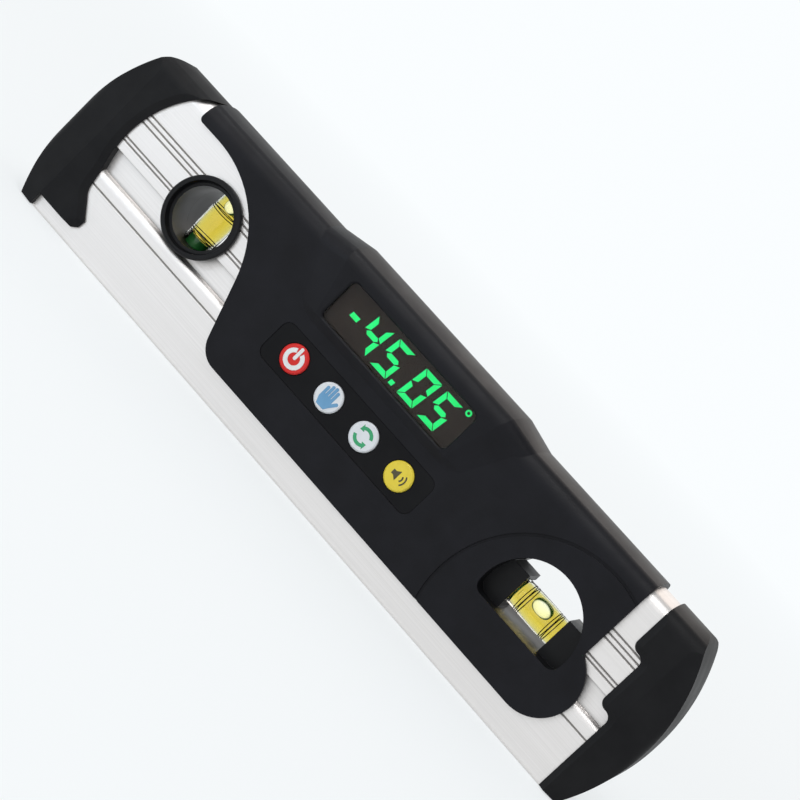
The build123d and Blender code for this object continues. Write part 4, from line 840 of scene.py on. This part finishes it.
def floor_material():
    """Matt floor that takes shadows; to the eye it turns into plain sky colour with distance."""
    mat, tree, shader = new_material("pale floor", FLOOR_TONES[1], roughness=0.9,
                                     Specular_IOR_Level=0.0)
    tint(tree, shader, noise(tree, size=FLOOR_BLOTCH), *FLOOR_TONES)
    glow = tree.nodes.new("ShaderNodeEmission")
    glow.inputs["Color"].default_value = (*SKY, 1)
    place = tree.nodes.new("ShaderNodeTexCoord")
    away = tree.nodes.new("ShaderNodeVectorMath")
    away.operation = "LENGTH"
    blend = tree.nodes.new("ShaderNodeMapRange")
    blend.inputs["From Min"].default_value = GLOW_FADE[0]
    blend.inputs["From Max"].default_value = GLOW_FADE[1]
    blend.inputs["To Min"].default_value = GLOW_NEAR
    share = tree.nodes.new("ShaderNodeMath")
    share.operation = "MULTIPLY"
    mix = tree.nodes.new("ShaderNodeMixShader")
    link(tree, place.outputs["Object"], away.inputs[0])
    link(tree, away.outputs["Value"], blend.inputs["Value"])
    link(tree, shown_to_eye(tree), share.inputs[0])
    link(tree, blend.outputs["Result"], share.inputs[1])
    link(tree, share.outputs["Value"], mix.inputs["Fac"])
    link(tree, shader.outputs["BSDF"], mix.inputs[1])
    link(tree, glow.outputs["Emission"], mix.inputs[2])
    link(tree, mix.outputs["Shader"], tree.nodes["Material Output"].inputs["Surface"])
    return mat


def pale_floor():
    mesh = bpy.data.meshes.new("floor")
    bm = bmesh.new()
    bmesh.ops.create_grid(bm, x_segments=1, y_segments=1, size=FLOOR_REACH)
    bm.to_mesh(mesh)
    bm.free()
    floor = bpy.data.objects.new("floor", mesh)
    bpy.context.scene.collection.objects.link(floor)
    floor.data.materials.append(floor_material())


def pale_world():
    """White at eye level and grey overhead where seen or mirrored; even light of its own strength."""
    world = bpy.data.worlds.new("studio")
    world.use_nodes = True
    tree = world.node_tree
    ground = tree.nodes["Background"]
    ground.inputs["Color"].default_value = (*SKY, 1)
    strength = tree.nodes.new("ShaderNodeMapRange")
    strength.inputs["To Min"].default_value = SKY_LIGHT
    place = tree.nodes.new("ShaderNodeTexCoord")
    apart = tree.nodes.new("ShaderNodeSeparateXYZ")
    sky = tree.nodes.new("ShaderNodeMapRange")
    sky.inputs["From Min"].default_value = SKY_FADE[0]
    sky.inputs["From Max"].default_value = SKY_FADE[1]
    sky.inputs["To Min"].default_value = 1.0
    sky.inputs["To Max"].default_value = SKY_ZENITH
    link(tree, place.outputs["Generated"], apart.inputs["Vector"])
    link(tree, apart.outputs["Z"], sky.inputs["Value"])
    link(tree, sky.outputs["Result"], strength.inputs["To Max"])
    link(tree, shown_to_eye(tree), strength.inputs["Value"])
    link(tree, strength.outputs["Result"], ground.inputs["Strength"])
    bpy.context.scene.world = world


def soft_lamp(name, place, size, power, color):
    """Area lamp that points at the level."""
    data = bpy.data.lights.new(name, "AREA")
    data.color = color
    data.shape = "RECTANGLE"
    data.size, data.size_y = size
    data.energy = power
    lamp = bpy.data.objects.new(name, data)
    lamp.location = place
    lamp.rotation_euler = (AIM - Vector(place)).to_track_quat("-Z", "Y").to_euler()
    bpy.context.scene.collection.objects.link(lamp)


def photo_camera():
    """Camera in the place of the one that took the photograph."""
    flat = math.cos(RISE)
    back = Vector((math.sin(YAW) * flat, -math.cos(YAW) * flat, math.sin(RISE)))
    data = bpy.data.cameras.new("camera")
    data.lens = FOCAL_LENGTH
    data.sensor_width = SENSOR_WIDTH
    camera = bpy.data.objects.new("camera", data)
    place = Matrix.Translation(AIM + back * DISTANCE)
    upright = (-back).to_track_quat("-Z", "Y").to_matrix().to_4x4()
    camera.matrix_world = place @ upright @ Matrix.Rotation(ROLL, 4, "Z")
    bpy.context.scene.collection.objects.link(camera)
    bpy.context.scene.camera = camera


pale_floor()
pale_world()
for lamp in LAMPS:
    soft_lamp(*lamp)
photo_camera()
bpy.context.scene.view_settings.view_transform = "Standard"
